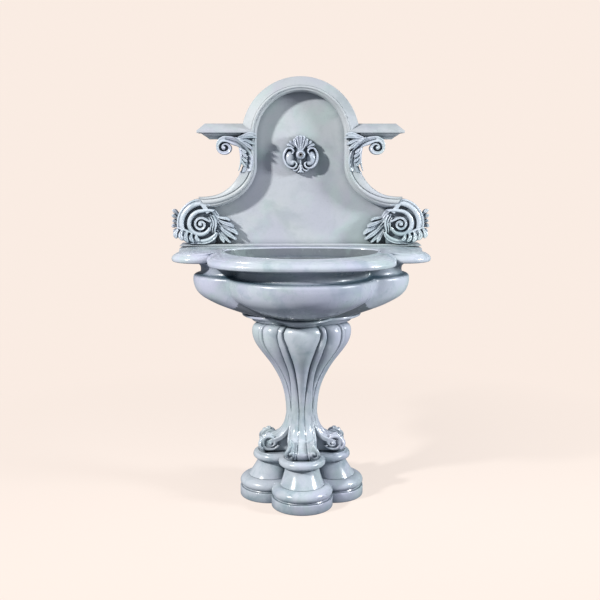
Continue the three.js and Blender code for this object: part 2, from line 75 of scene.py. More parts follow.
# ---- Places taken from the frame ----
AXIS_Y = middle("waste_tail", 1)  # row-frame y of the stem's axis, in metres
PLINTH_TOP = high_of("plinth_slab")
BASE_TOP = high_of("base_block")
STEM_TOP = high_of("stem")
COLLAR_LOW = low_of("collar")
COLLAR_TOP = high_of("collar")
BOWL_LOW = low_of("basin_bowl")
BOWL_TOP = high_of("basin_bowl")
RIM_LOW = low_of("basin_rim")
RIM_TOP = high_of("basin_rim")
SILL_LOW = low_of("sill")
SILL_TOP = high_of("sill")
WALL_Y = high_of("back_panel", 1) - AXIS_Y / MM
FIELD_Y = low_of("back_panel", 1) - AXIS_Y / MM
ARCH_Z = low_of("arch_moulding")
ARCH_RADIUS = high_of("arch_moulding", 0)


# ---- Mesh building ----
def place(points):
    """Drawing-frame millimetres to row-frame metres."""
    moved = np.asarray(points, float).reshape(-1, 3) * MM
    moved[:, 1] += AXIS_Y
    return moved


def soften(piece, degrees):
    """Smooth shading, apart from edges sharper than an angle."""
    piece.data.shade_smooth()
    piece.data.set_sharp_from_angle(angle=math.radians(degrees))


class Solid:
    """Closed surfaces gathered into one mesh."""

    def __init__(self):
        self.points = []
        self.faces = []
        self.count = 0

    def grid(self, rows, looped=False):
        """Skin over closed rows of points. The ends are capped, or the last row joins the first if looped."""
        rows = np.asarray(rows, float)
        n, m = rows.shape[:2]
        r, c = np.meshgrid(np.arange(n if looped else n - 1), np.arange(m), indexing="ij")
        r2, c2 = (r + 1) % n, (c + 1) % m
        quads = np.stack([r * m + c, r * m + c2, r2 * m + c2, r2 * m + c], -1).reshape(-1, 4) + self.count
        self.faces += quads.tolist()
        if not looped:
            self.faces.append((np.arange(m)[::-1] + self.count).tolist())
            self.faces.append((np.arange(m) + (n - 1) * m + self.count).tolist())
        self.points.append(rows.reshape(-1, 3))
        self.count += n * m
        return self

    def build(self, name, material, smooth=35, weld=True):
        mesh = bpy.data.meshes.new(name)
        mesh.from_pydata(place(np.concatenate(self.points)).tolist(), [], self.faces)
        tidy = bmesh.new()
        tidy.from_mesh(mesh)
        if weld:
            bmesh.ops.remove_doubles(tidy, verts=tidy.verts, dist=WELD)
        bmesh.ops.recalc_face_normals(tidy, faces=tidy.faces)
        tidy.to_mesh(mesh)
        tidy.free()
        piece = bpy.data.objects.new(name, mesh)
        soften(piece, smooth)
        bpy.context.scene.collection.objects.link(piece)
        mesh.materials.append(material)
        return piece


def settle(piece, slot, *nodes, body=FONT):
    """Makes a piece ride on its body and stand for its CAD nodes, which it hides."""
    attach(piece, body)
    if nodes:
        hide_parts(*nodes)
    return piece


def apply_modifiers(piece):
    graph = bpy.context.evaluated_depsgraph_get()
    done = bpy.data.meshes.new_from_object(piece.evaluated_get(graph))
    piece.modifiers.clear()
    piece.data = done


def boolean(piece, other, operation):
    """Joins or cuts a piece by another, which is then removed."""
    cut = piece.modifiers.new("cut", "BOOLEAN")
    cut.operation, cut.solver, cut.object = operation, "MANIFOLD", other
    bpy.context.view_layer.update()
    apply_modifiers(piece)
    bpy.data.objects.remove(other)


# ---- Curves ----
def spline(knots, steps=8):
    """Catmull-Rom curve through knots of any dimension."""
    knots = np.asarray(knots, float)
    padded = np.vstack([2 * knots[0] - knots[1], knots, 2 * knots[-1] - knots[-2]])
    out = []
    for i in range(len(knots) - 1):
        a, b, c, d = padded[i : i + 4]
        square, cube = 2 * a - 5 * b + 4 * c - d, 3 * b - a - 3 * c + d
        out += [0.5 * (2 * b + (c - a) * t + square * t**2 + cube * t**3) for t in np.arange(steps) / steps]
    out.append(knots[-1])
    return np.array(out)


def arc(cx, cz, rx, rz, start, end, steps):
    """Elliptical arc in degrees."""
    a = np.radians(np.linspace(start, end, steps + 1))
    return np.stack([cx + rx * np.cos(a), cz + rz * np.sin(a)], -1)


def joined(*pieces):
    """Polyline pieces end to end, with repeated points dropped."""
    line = [pieces[0]]
    for piece in pieces[1:]:
        piece = np.asarray(piece, float).reshape(-1, 2)
        line.append(piece[1:] if np.allclose(line[-1][-1], piece[0], atol=1e-6) else piece)
    return np.vstack([np.asarray(p, float).reshape(-1, 2) for p in line])


def full_turn(count):
    return np.linspace(0, 2 * math.pi, count, endpoint=False)


def disc(x, z, radius, y, sides=64, squash=1.0):
    """Ring of points in the plane of the back, round (x, z) at depth y."""
    a = full_turn(sides)
    return np.column_stack([x + radius * np.cos(a), np.full(sides, y), z + radius * squash * np.sin(a)])


def mix(a, b, t):
    return a + (b - a) * t


def ramp(t, start, end):
    """Smooth 0 to 1 between two values."""
    t = np.clip((t - start) / (end - start), 0, 1)
    return t * t * (3 - 2 * t)


# ---- Materials ----
def node(tree, kind, inputs=(), **settings):
    made = tree.nodes.new(kind)
    for key, value in settings.items():
        setattr(made, key, value)
    for key, value in dict(inputs).items():
        if isinstance(value, bpy.types.NodeSocket):
            tree.links.new(value, made.inputs[key])
        else:
            made.inputs[key].default_value = value
    return made


def colours(tree, factor, stops):
    made = node(tree, "ShaderNodeValToRGB", {"Fac": factor})
    band = made.color_ramp
    while len(band.elements) < len(stops):
        band.elements.new(0.5)
    for element, (position, colour) in zip(band.elements, stops):
        element.position, element.color = position, (*colour, 1)
    return made.outputs["Color"]


def blend_colour(tree, factor, first, second):
    made = node(tree, "ShaderNodeMix", data_type="RGBA", blend_type="MIX")
    for key, value in (("Factor", factor), ("A", first), ("B", second)):
        socket = next(s for s in made.inputs if s.name == key and (key == "Factor" or s.type == "RGBA"))
        if isinstance(value, bpy.types.NodeSocket):
            tree.links.new(value, socket)
        else:
            socket.default_value = (*value, 1) if isinstance(value, tuple) and len(value) == 3 else value
    return next(s for s in made.outputs if s.type == "RGBA")


def noise(tree, place_socket, scale, detail=4.0, roughness=0.55, distortion=0.0):
    made = node(tree, "ShaderNodeTexNoise", {"Vector": place_socket, "Scale": scale, "Detail": detail,
                                             "Roughness": roughness, "Distortion": distortion})
    return made.outputs["Fac"]


def new_material(name):
    """A material with its node tree, its shader and the place on the object."""
    made = bpy.data.materials.new(name)
    made.use_nodes = True
    tree = made.node_tree
    return made, tree, tree.nodes["Principled BSDF"], node(tree, "ShaderNodeTexCoord").outputs["Object"]


def marble(name, pale, cool, warm, patina_and_shade, depth, strength, gloss, speck=0.0):
    """Mottled marble whose hollows turn darker, partly a real patina and partly painted shade: an
    ambient-occlusion node darkens recesses, creases and undersides towards a dark colour.

    depth is how far, in metres, a hollow reaches; strength how dark it gets; gloss is (low, high) roughness;
    speck is how dark its small grains are.
    """
    made, tree, shader, where = new_material(name)
    clouds = noise(tree, where, 9.0, 5.0, 0.6, 0.6)
    tint = noise(tree, where, 4.2, 3.0, 0.5, 0.3)
    base = colours(tree, clouds, [(0.34, cool), (0.5, pale), (0.68, pale)])
    lilac = colours(tree, tint, [(0.45, (0, 0, 0)), (0.62, (1, 1, 1))])
    base = blend_colour(tree, lilac, base, blend_colour(tree, 0.5, base, warm))
    green = colours(tree, noise(tree, where, 6.4, 4.0, 0.6, 0.4), [(0.5, (0, 0, 0)), (0.66, (1, 1, 1))])
    base = blend_colour(tree, green, base, blend_colour(tree, 0.5, base, SAGE))
    veins = noise(tree, where, 26.0, 8.0, 0.7, 1.2)
    base = blend_colour(tree, colours(tree, veins, [(0.36, (1, 1, 1)), (0.47, (0, 0, 0))]), base,
                        blend_colour(tree, 0.35, base, cool))
    if speck:
        grains = noise(tree, where, 330.0, 2.0, 0.6)
        dots = colours(tree, grains, [(0.30, (1, 1, 1)), (0.36, (0, 0, 0))])
        base = blend_colour(tree, dots, base, blend_colour(tree, speck, base, patina_and_shade))
    # painted shade: where the AO node finds surfaces close by, in recesses, creases and under overhangs, the
    # colour is darkened towards the dark patina colour
    hollow = node(tree, "ShaderNodeAmbientOcclusion", {"Distance": depth}, samples=8)
    shade = colours(tree, hollow.outputs["AO"], [(0.25, (1, 1, 1)), (0.55, (0.55,) * 3), (0.92, (0, 0, 0))])
    base = blend_colour(tree, shade, base, blend_colour(tree, strength, base, patina_and_shade))
    tree.links.new(base, shader.inputs["Base Color"])
    wear = node(tree, "ShaderNodeMapRange", {"Value": noise(tree, where, 38.0, 4.0), "From Min": 0.3,
                                             "From Max": 0.7, "To Min": gloss[0], "To Max": gloss[1]})
    tree.links.new(wear.outputs["Result"], shader.inputs["Roughness"])
    ripple = node(tree, "ShaderNodeBump", {"Height": noise(tree, where, 60.0, 3.0), "Strength": 0.06,
                                           "Distance": 0.002})
    tree.links.new(ripple.outputs["Normal"], shader.inputs["Normal"])
    return made


def metal(name, colour, roughness):
    made, tree, shader, where = new_material(name)
    smear = noise(tree, where, 140.0, 4.0)
    dull = tuple(0.8 * c for c in colour)
    tree.links.new(colours(tree, smear, [(0.3, dull), (0.7, colour)]), shader.inputs["Base Color"])
    worn = node(tree, "ShaderNodeMapRange", {"Value": smear, "To Min": roughness * 0.7,
                                             "To Max": roughness * 1.4})
    tree.links.new(worn.outputs["Result"], shader.inputs["Roughness"])
    shader.inputs["Metallic"].default_value = 1.0
    return made


def rubber_finish():
    made = metal("rubber", (0.03, 0.03, 0.032), 0.7)
    made.node_tree.nodes["Principled BSDF"].inputs["Metallic"].default_value = 0.0
    return made


PALE = (0.46, 0.50, 0.55)
COOL = (0.30, 0.37, 0.41)
LILAC = (0.40, 0.39, 0.53)
SAGE = (0.36, 0.46, 0.44)
# dark colour of the grains and the patina, also used for the painted shade in hollows
PATINA_AND_SHADE = (0.035, 0.065, 0.09)

POLISHED = marble("polished_marble", PALE, COOL, LILAC, PATINA_AND_SHADE, 0.035, 0.7, (0.14, 0.28), speck=0.16)
# painted shade: far-reaching, full-strength occlusion darkening paints the shade in the bowl's cavity and on
# the neck under the rim
BASIN = marble("basin_marble", PALE, COOL, LILAC, PATINA_AND_SHADE, 0.14, 1.0, (0.24, 0.4), speck=0.16)
PANEL = marble("panel_marble", (0.42, 0.445, 0.465), (0.34, 0.375, 0.39), (0.36, 0.36, 0.445), PATINA_AND_SHADE, 0.03,
               0.5, (0.34, 0.5), speck=0.35)
CARVED = marble("carved_marble", (0.47, 0.52, 0.575), COOL, LILAC, (0.03, 0.055, 0.085), 0.022, 0.9,
                (0.2, 0.36))
# painted shade: a dark marble for the inside of the mouth, standing in for the shade on the cavity's inner
# wall
INSIDE_SHADE = marble("basin_inside_shade", (0.16, 0.185, 0.20), (0.12, 0.15, 0.16), (0.14, 0.14, 0.18), PATINA_AND_SHADE, 0.06,
                0.6, (0.14, 0.3), speck=0.2)
STEEL = metal("stainless_finish", (0.62, 0.62, 0.64), 0.3)
BRASS = metal("brass_finish", (0.66, 0.48, 0.2), 0.3)
CHROME = metal("chrome_finish", (0.8, 0.81, 0.83), 0.12)
RUBBER = rubber_finish()


# ---- Pedestal ----
FOOT_OFFSET = 125.0
FOOT_LEAN = 25.0
FOOT_RADIUS = 117.5
BORE = 28.0


def upright(plan, z):
    """Row of points from an (n, 2) plan at height z."""
    return np.column_stack([plan, np.full(len(plan), z)])


def circle(radius, count):
    a = full_turn(count)
    return np.stack([radius * np.cos(a), radius * np.sin(a)], -1)


def quatrefoil(radius, per_lobe=72):
    """Plan of four overlapping discs, with points that follow the creases between them."""
    half = math.pi / 4 + math.asin(FOOT_OFFSET / (math.sqrt(2) * radius))
    a = np.linspace(-half, half, per_lobe, endpoint=False)
    lobe = np.stack([FOOT_OFFSET + radius * np.cos(a), radius * np.sin(a)], -1)
    turn = [lobe @ np.array([[c, s], [-s, c]]) for c, s in ((1, 0), (0, 1), (-1, 0), (0, -1))]
    return np.vstack(turn)


def plinth():
    edge = joined(arc(-4, 4, 4, 4, -90, 0, 5), arc(-3, PLINTH_TOP - 3, 3, 3, 0, 90, 5))
    bore = circle(BORE, 288)
    rows = [upright(bore, 0.0)] + [upright(quatrefoil(FOOT_RADIUS + inset), z) for inset, z in edge]
    rows += [upright(bore, PLINTH_TOP), upright(bore, PLINTH_TOP / 2)]
    return Solid().grid(rows, looped=True).build("plinth", POLISHED)


def foot_profile():
    low = PLINTH_TOP + GAP
    torus = joined([[0, low], [104, low], [110, low + 1.2]], arc(97, 58, 20, 17, -58, 0, 8))
    shoulder = arc(82, 58, 35, 25, 4, 84, 14)
    bell = spline([[84, 84.6], [80, 93], [74.5, 108], [68.5, 128], [65.3, 143], [65, 150]], 6)
    upper = joined(arc(66, 166, 24, 15.5, -84, 0, 10), arc(79, 166, 11, 13, 6, 84, 8))
    bead = arc(72, 180.5, 4.2, BASE_TOP - 180.5, 0, 180, 8)
    ring = joined([[78.2, 180.4], [76.4, 180.6]], bead, [[62, 180.8], [0, 180.6]])
    return joined(torus, shoulder, [[82.5, 83.2], [81.8, 84.0]], bell, upper, ring)


def turned_foot(quarter, sides=112):
    profile = foot_profile()
    r, z = profile[:, 0], profile[:, 1]
    centre = FOOT_OFFSET - FOOT_LEAN * np.clip((z - 82) / 84, 0, 1)
    a = full_turn(sides)
    x = centre[:, None] + r[:, None] * np.cos(a)
    y = r[:, None] * np.sin(a)
    turn = quarter * math.pi / 2
    c, s = math.cos(turn), math.sin(turn)
    rows = np.stack([x * c - y * s, x * s + y * c, np.repeat(z[:, None], sides, 1)], -1)
    return Solid().grid(rows[1:-1])


def base_block():
    """Four turned feet grown together round a core, as one stone."""
    core = ((86, PLINTH_TOP + GAP), (86, 80), (70, 110), (62, 180.6))
    block = Solid().grid([upright(circle(r, 64), z) for r, z in core]).build("base", POLISHED)
    for quarter in range(4):
        boolean(block, turned_foot(quarter).build("foot", POLISHED), "UNION")
    bore = Solid().grid([upright(circle(BORE, 48), z) for z in (PLINTH_TOP - 5, BASE_TOP + 5)])
    boolean(block, bore.build("bore", POLISHED), "DIFFERENCE")
    soften(block, 32)
    return block


# Stem: half-widths to the side and to the front, by height.
STEM_LINE = spline([
    [BASE_TOP + 0.4, 60, 60], [228, 62, 62], [262, 60.5, 60.5], [318, 59, 58], [359, 60, 59.5],
    [395, 64, 63.5], [419, 68.5, 67.5], [443, 75, 73.5], [467, 84, 80.5], [491, 96, 90], [515, 109.5, 100],
    [539, 125.5, 111], [563, 144, 123], [587, 162, 133], [611, 177.5, 141], [635, 187, 145], [658, 190, 146],
    [674, 187.5, 144], [685, 180, 138], [691, 169, 129], [STEM_TOP, 158, 120],
], 6)


def stem_relief(z):
    """Relief round one eighth of the stem at height z, as angles and heights.

    It runs from the middle of a petal, past its groove and rib, to the middle of the lobe beside it.
    """
    petal = np.interp(z, [190, 260, 340, 400, 480, 560, 615, 645, 668, 693],
                      [16, 10.5, 9.4, 12.6, 15.8, 17.6, 20, 23, 24, 21.5])
    rib = np.interp(z, [190, 330, 390, 430, 500, 600, 650, 693],
                    [43.6, 43.6, 43.0, 39.5, 33.5, 30.8, 32.2, 31])
    swell = ramp(z, 340, 560)
    size = np.interp(z, [183, 330, 650], [64, 57, 170])
    cut = math.degrees(mix(2.0, 3.2, swell) / size)  # half-width of a groove
    u = np.linspace(0, 1, 13)
    petal_a, petal_h = u * (petal - cut), mix(1.4, 15.0, swell) * (1 - u**2.1)
    groove_a = petal + cut * np.array([-0.45, 0.0, 0.45])
    groove_h = -mix(3.2, 6.5, swell) * np.array([0.85, 1.0, 0.85])
    rib_u = np.linspace(0, 1, 9)
    rib_a = petal + cut + rib_u * (rib - cut * 0.8 - petal - cut)
    rib_h = mix(2.4, 3.6, swell) * (1 - (2 * rib_u - 1) ** 4) + mix(0.0, 2.0, swell)
    line_a, line_h = rib + cut * np.array([-0.3, 0.3]), np.full(2, -mix(2.8, 3.2, ramp(z, 420, 520)))
    lobe_u = np.linspace(0, 1, 9)
    lobe_a = rib + cut * 0.8 + lobe_u * (45 - rib - cut * 0.8)
    lobe_h = mix(0.2, 12.0, ramp(z, 400, 580)) * (1 - (1 - lobe_u) ** 2.2)
    angle = np.concatenate([petal_a, groove_a, rib_a, line_a, lobe_a])
    relief = np.concatenate([petal_h, groove_h, rib_h, line_h, lobe_h])
    return np.radians(angle), relief


def stem():
    rows = []
    for z, side, front in STEM_LINE:
        eighth, relief = stem_relief(z)
        quarter = np.concatenate([eighth, math.pi / 2 - eighth[::-1][1:]])[:-1]
        lift = np.concatenate([relief, relief[::-1][1:]])[:-1] - 13.5 * ramp(z, 340, 560)
        angle = np.concatenate([quarter + k * math.pi / 2 for k in range(4)])
        height = np.tile(lift, 4)
        x, y = (side + height) * np.sin(angle), -(front + height) * np.cos(angle)
        rows.append(np.column_stack([x, y, np.full(len(angle), z)]))
    inner = [upright(ring_like(rows[-1], BORE), STEM_TOP), upright(ring_like(rows[0], BORE), BASE_TOP + 0.4)]
    return Solid().grid(rows + inner, looped=True).build("stem_body", POLISHED, smooth=50)


def ring_like(row, radius):
    """Circle whose points look out along the same directions as a row's points."""
    direction = row[:, :2] / np.linalg.norm(row[:, :2], axis=1, keepdims=True)
    return direction * radius


# ---- Basin ----
BOWL_AXIS_Y = 60.0
WALL = 54.0
MOUTH_Y = 110.0
MOUTH_HALF = 302.0
MOUTH_FRONT = 306.0
MOUTH_REAR = 115.0
CAVITY_FLOOR = 768.0
DRAIN_RADIUS = 24.0
COLLAR_BORE = 46.0
RIM_FRONT = {"y": -60.0, "a": 352.0, "b": 239.0, "power": 2.3}
RIM_WING = {"x": 398.0, "y": 76.0, "r": 105.0}
RIM_BACK_HALF = 496.0
RIM_EDGE = 18  # how far in the rim's rounded edge keeps the shape of its outline
RIM_FLAT = 90  # distance over which the top would reach the mouth


def reach(angle, from_y, x, y, r):
    """Distance from (0, from_y) along each angle to the far side of a disc, or 0 where it misses."""
    dx, dy = x, y - from_y
    along = dx * np.cos(angle) + dy * np.sin(angle)
    square = r**2 - (dx**2 + dy**2 - along**2)
    return np.where(square > 0, along + np.sqrt(np.maximum(square, 0)), 0.0)


def bowl_reach(angle, spread, inset=0.0, crisp=34.0):
    """Outline of the lobed bowl, from the collar (spread 0) to its widest line (spread 1)."""
    side_x, side_y, side_r = 81 + 169.5 * spread, 60 + 35 * spread, 152 + 18.5 * spread - inset
    discs = [(0, -52.6 + 45.2 * spread, 112.4 + 170 * spread - inset)]
    discs += [(s * part * side_x, side_y, side_r) for s in (-1, 1) for part in (1, 0.5)]
    total = sum(np.maximum(reach(angle, BOWL_AXIS_Y, *disc), 0) ** crisp for disc in discs)
    return total ** (1 / crisp) * 2 ** (-0.35 / crisp)


def mouth_reach(angle, grow=0.0):
    """Outline of the mouth, two half ellipses with one width, grown by a margin."""
    half, offset = MOUTH_HALF + grow, BOWL_AXIS_Y - MOUTH_Y

    def hit(depth):
        square = (np.cos(angle) / half) ** 2 + (np.sin(angle) / depth) ** 2
        linear = offset * np.sin(angle) / depth**2
        under = linear**2 - square * ((offset / depth) ** 2 - 1)
        return (-linear + np.sqrt(np.maximum(under, 0))) / square

    ahead = hit(MOUTH_FRONT + grow)
    return np.where(BOWL_AXIS_Y + ahead * np.sin(angle) < MOUTH_Y, ahead, hit(MOUTH_REAR + grow))


def cavity_reach(angle, soft=14.0):
    """Outline of the cavity at its top: the mouth, softly held inside the wall."""
    inside = bowl_reach(angle, 1.0, WALL, crisp=14.0)
    return -soft * np.logaddexp(-mouth_reach(angle) / soft, -inside / soft)


def polar(angle, distance, z, y=BOWL_AXIS_Y):
    """Row of points at distances along each angle from (0, y)."""
    x, y = distance * np.cos(angle), y + distance * np.sin(angle)
    return np.column_stack([x, y, np.full(len(angle), float(z))])


def round_row(angle, radius, z):
    """Row of points round the stem's axis."""
    return polar(angle, np.full(len(angle), radius), z, 0.0)


def collar():
    a = full_turn(320)
    edge = [(0.3, -0.22), (1.2, -0.205), (7, -0.175), (11, -0.13), (14, -0.085), (15.2, -0.078),
            (15.8, -0.062), (16.4, -0.03), (18.5, -0.004), (22, 0.006), (25.5, -0.002), (27.6, -0.022),
            (28.8, -0.06)]
    rows = [round_row(a, COLLAR_BORE, COLLAR_LOW)]
    rows += [polar(a, bowl_reach(a, spread), COLLAR_LOW - GAP + rise) for rise, spread in edge]
    rows.append(round_row(a, COLLAR_BORE, COLLAR_TOP))
    return Solid().grid(rows, looped=True).build("collar_slab", POLISHED)


# Outside of the bowl as (height, spread), from the collar up to its shoulder.
BELLY_LINE = [(0, -0.06), (1.2, 0.01), (6, 0.1), (15, 0.26), (31, 0.51), (46, 0.69), (63, 0.855), (81, 0.955),
              (99, 1.005), (118, 1.03), (133, 1.03)]
# Above it the wall turns in over the shoulder to the neck under the rim, as (height, inset).
SHOULDER_LINE = [(138, 0.6), (142, 2.6), (145.5, 6.4), (147.6, 11.5), (148.6, 17), (150, 23), (154, 27.5),
                 (160, 29.5), (168, 30), (178, 28), (186, 21), (194, 10), (196, 8)]


def bowl():
    a = full_turn(420)
    rows = [polar(a, bowl_reach(a, spread), BOWL_LOW + rise) for rise, spread in spline(BELLY_LINE, 4)]
    shoulder = spline(SHOULDER_LINE, 3)
    rows += [polar(a, bowl_reach(a, 1.03, inset), BOWL_LOW + rise) for rise, inset in shoulder]
    inner = spline([(1, BOWL_TOP), (0.985, 872), (0.9, 822), (0.78, 790), (0.6, 774.5)], 6)
    rows += [polar(a, cavity_reach(a) * share, z) for share, z in inner]
    rows += [round_row(a, radius, CAVITY_FLOOR) for radius in (60.0, DRAIN_RADIUS)]
    rows.append(round_row(a, DRAIN_RADIUS, BOWL_LOW))
    return shade_inside(Solid().grid(rows, looped=True).build("basin_bowl_carved", BASIN, smooth=40),
                        BOWL_TOP + 1)


def shade_inside(piece, top):
    """Gives the faces inside the mouth, below a height, a dark material as painted shade on the inner wall of
    the cavity.
    """
    piece.data.materials.append(INSIDE_SHADE)
    for face in piece.data.polygons:
        x, y, z = np.array(face.center) / MM
        y -= AXIS_Y / MM + BOWL_AXIS_Y
        if z < top and math.hypot(x, y) < mouth_reach(np.array([math.atan2(y, x)]), 0.4)[0]:
            face.material_index = 1
    return piece


def rim_outline(grow, front_count=110, wing_count=90):
    """Right half of the rim's plan, from the middle of its front round the wing to the wall."""
    y0, a, b, power = RIM_FRONT["y"], RIM_FRONT["a"] + grow, RIM_FRONT["b"] + grow, RIM_FRONT["power"]
    cx, cy, r = RIM_WING["x"], RIM_WING["y"], RIM_WING["r"] + grow

    def front(angle):
        return (np.abs(np.cos(angle) / a) ** power + np.abs(np.sin(angle) / b) ** power) ** (-1 / power)

    low, high = -math.pi / 2, 0.5
    for _ in range(40):  # halves the range round where the front meets the wing
        mid = (low + high) / 2
        inside = reach(np.array([mid]), y0, cx, cy, r)[0] < front(mid)
        low, high = (mid, high) if inside else (low, mid)
    angle = np.linspace(-math.pi / 2, low, front_count)
    lobe = np.column_stack([front(angle) * np.cos(angle), y0 + front(angle) * np.sin(angle)])
    start = math.atan2(lobe[-1, 1] - cy, lobe[-1, 0] - cx)
    side_x = RIM_BACK_HALF + min(grow, 0.0)
    end = math.acos(min(1.0, (side_x - cx) / r))
    turn = np.linspace(start, end, wing_count)
    wing = np.column_stack([cx + r * np.cos(turn), cy + r * np.sin(turn)])
    side_y = np.linspace(wing[-1, 1], WALL_Y, 26)[1:]
    side = np.column_stack([mix(side_x, RIM_BACK_HALF, ramp(side_y, 185, 250)), side_y])
    rear = np.column_stack([np.linspace(RIM_BACK_HALF, 0, 24)[1:], np.full(23, WALL_Y)])
    return np.vstack([lobe, wing[1:], side, rear])


def mirrored_ring(half):
    """Closed ring from its right half, whose first and last points lie on the middle plane."""
    left = half[::-1][1:-1] * np.array([-1, 1])
    return np.vstack([half, left])


def rim():
    edge = joined([(-16, RIM_LOW), (-13, RIM_LOW + 0.2)], arc(-11, RIM_LOW + 6, 12, 6, -84, -4, 7),
                  arc(-56, RIM_LOW + 11.5, 58.2, RIM_TOP - RIM_LOW - 11.5, 0, 90, 18))
    rows = [upright(mirrored_ring(rim_outline(grow)), z) for grow, z in edge if grow >= -RIM_EDGE]
    plan = rows[-1][:, :2] - np.array([0, BOWL_AXIS_Y])
    angle = np.arctan2(plan[:, 1], plan[:, 0])
    count = len(angle) // 2 + 1
    turn = 0.85 * np.maximum.accumulate(angle[:count]) + 0.15 * np.linspace(-math.pi / 2, math.pi / 2, count)
    angle = np.concatenate([turn, (math.pi - turn)[::-1][1:-1]])  # never turns back, so no face folds over
    mouth = [(11, RIM_TOP), (9.6, RIM_TOP), (8.9, RIM_TOP - 1.6), (8.2, RIM_TOP - 1.6), (7.5, RIM_TOP),
             (5, RIM_TOP), (2, RIM_TOP - 0.6), (0.5, RIM_TOP - 2), (0, RIM_TOP - 4.5), (-0.6, RIM_LOW)]
    outer, lip = rows[-1], polar(angle, mouth_reach(angle, mouth[0][0]), RIM_TOP)
    for grow, z in edge:
        if grow < -RIM_EDGE:  # further in, offset lobes would part, so the top runs straight to the mouth
            row = mix(outer, lip, (-RIM_EDGE - grow) / RIM_FLAT)
            row[:, 2] = z
            rows.append(row)
    rows += [polar(angle, mouth_reach(angle, grow), z) for grow, z in mouth]
    return shade_inside(Solid().grid(rows, looped=True).build("basin_rim_carved", POLISHED, smooth=40),
                        RIM_TOP - 4)


# ---- Turned metal ----
def lathe(name, profile, material, axis_z=None, sides=96):
    """Turned piece about the stem's axis, or about the line y at height axis_z where one is given."""
    a = full_turn(sides)
    rows = []
    for r, s in profile:
        c, d = max(r, 0.02) * np.cos(a), max(r, 0.02) * np.sin(a)
        span = np.full(sides, float(s))
        rows.append(np.column_stack([c, d, span] if axis_z is None else [c, span, axis_z + d]))
    closed = np.allclose(profile[0], profile[-1])
    return Solid().grid(rows[:-1] if closed else rows, looped=closed).build(name, material, smooth=40)


def flange():
    top = high_of("waste_flange")
    low = low_of("waste_flange")
    lip = joined([(36, top - 4.4)], arc(34, top - 2, 2, 2, 0, 90, 6),
                 arc(26, top - 2.5, 2.5, 2.5, 90, 160, 6))
    return lathe("flange", [(17, low), (22, low), (22, top - 4.7), (36, top - 4.7), *lip, (19, top - 10),
                            (17, top - 12), (17, low)], CHROME)


def plug():
    top = high_of("waste_plug")
    low = low_of("waste_plug")
    head = joined(arc(24, top - 6.5, 3, 2.5, -60, 60, 8),
                  spline([(24.5, top - 3.2), (19, top - 1.4), (12, top - 0.3), (9, top)], 4))
    return lathe("plug_head", [(0, low), (14, low), (15, low + 1), (15, low + 6.5), (20, low + 7), *head,
                               (0, top)], CHROME)


def knob():
    low, top = low_of("plug_knob"), high_of("plug_knob")
    ball = arc(0, top - 9.5, 11, 9.5, -50, 90, 16)
    foot = spline([(8, low), (7.4, low + 1.6), (5, low + 4), (4.4, low + 7.5), (5.4, low + 9)], 4)
    return lathe("knob", [(0, low), *foot, *ball], CHROME)


# ---- Relief carving ----
BACK = FIELD_Y - GAP


def ribbon(solid, outer, inner, profile, front):
    """Band laid in the plane of the back, between an outer and an inner line.

    profile gives (across, lift) pairs from outer to inner, and front the y that lifts rise from, one value or
    one for each station.
    """
    outer, inner = np.asarray(outer, float), np.asarray(inner, float)
    front = np.broadcast_to(np.asarray(front, float), len(outer))
    rows = []
    for o, i, y in zip(outer, inner, front):
        across = [(mix(o[0], i[0], t), y - lift, mix(o[1], i[1], t)) for t, lift in profile]
        rows.append([(o[0], BACK, o[1]), *across, (i[0], BACK, i[1])])
    return solid.grid(rows)


def sides_of(path, widths):
    """Lines on both sides of a path at half-widths."""
    along = np.gradient(path, axis=0)
    along /= np.maximum(np.linalg.norm(along, axis=1, keepdims=True), 1e-9)
    across = np.column_stack([-along[:, 1], along[:, 0]]) * np.asarray(widths)[:, None]
    return path + across, path - across


ROUND = [(0, 0), (0.04, 0.34), (0.14, 0.68), (0.3, 0.92), (0.5, 1.0), (0.7, 0.92), (0.86, 0.68), (0.96, 0.34),
         (1, 0)]
LEAF = [(0, 0), (0.04, 0.4), (0.14, 0.78), (0.3, 1.0), (0.42, 0.84), (0.5, 0.66), (0.58, 0.84), (0.7, 1.0),
        (0.86, 0.78), (0.96, 0.4), (1, 0)]


def strand(solid, knots, width, rise, front, section=ROUND, tip=0.35, root=0.45, fat=0.7, back=None,
           curl=0.0):
    """Carved strand that swells from its root to fat along its length and closes in a round tip.

    curl lifts its tip forward.
    """
    path = spline(knots, 9)
    step = np.linalg.norm(np.diff(path, axis=0), axis=1)
    s = np.concatenate([[0], np.cumsum(step)])
    s /= s[-1]
    swell = np.where(s < fat, mix(root, 1, ramp(s, 0, fat)), mix(1, tip, ramp(s, fat, 1)))
    close = np.sqrt(np.clip(1 - np.clip((s - 0.9) / 0.1, 0, 1) ** 2, 0.03, 1))
    left, right = sides_of(path, width * swell * close)
    lift = rise * (0.55 + 0.45 * swell) * np.maximum(close, 0.25)
    rows = []
    for o, i, h, t in zip(left, right, lift, s):
        y = front - curl * t**2
        across = [(mix(o[0], i[0], u), y - k * h, mix(o[1], i[1], u)) for u, k in section]
        rear = front + 8 if back is None else back
        rows.append([(o[0], rear, o[1]), *across, (i[0], rear, i[1])])
    return solid.grid(rows)


def spiral(centre, turns):
    """Outer and inner lines of a spiral from (angle, outer radius, inner radius) stations in degrees."""
    smooth = spline(turns, 8)
    a = np.radians(smooth[:, 0])
    ray = np.column_stack([np.cos(a), np.sin(a)])
    return centre + ray * smooth[:, 1:2], centre + ray * smooth[:, 2:3]


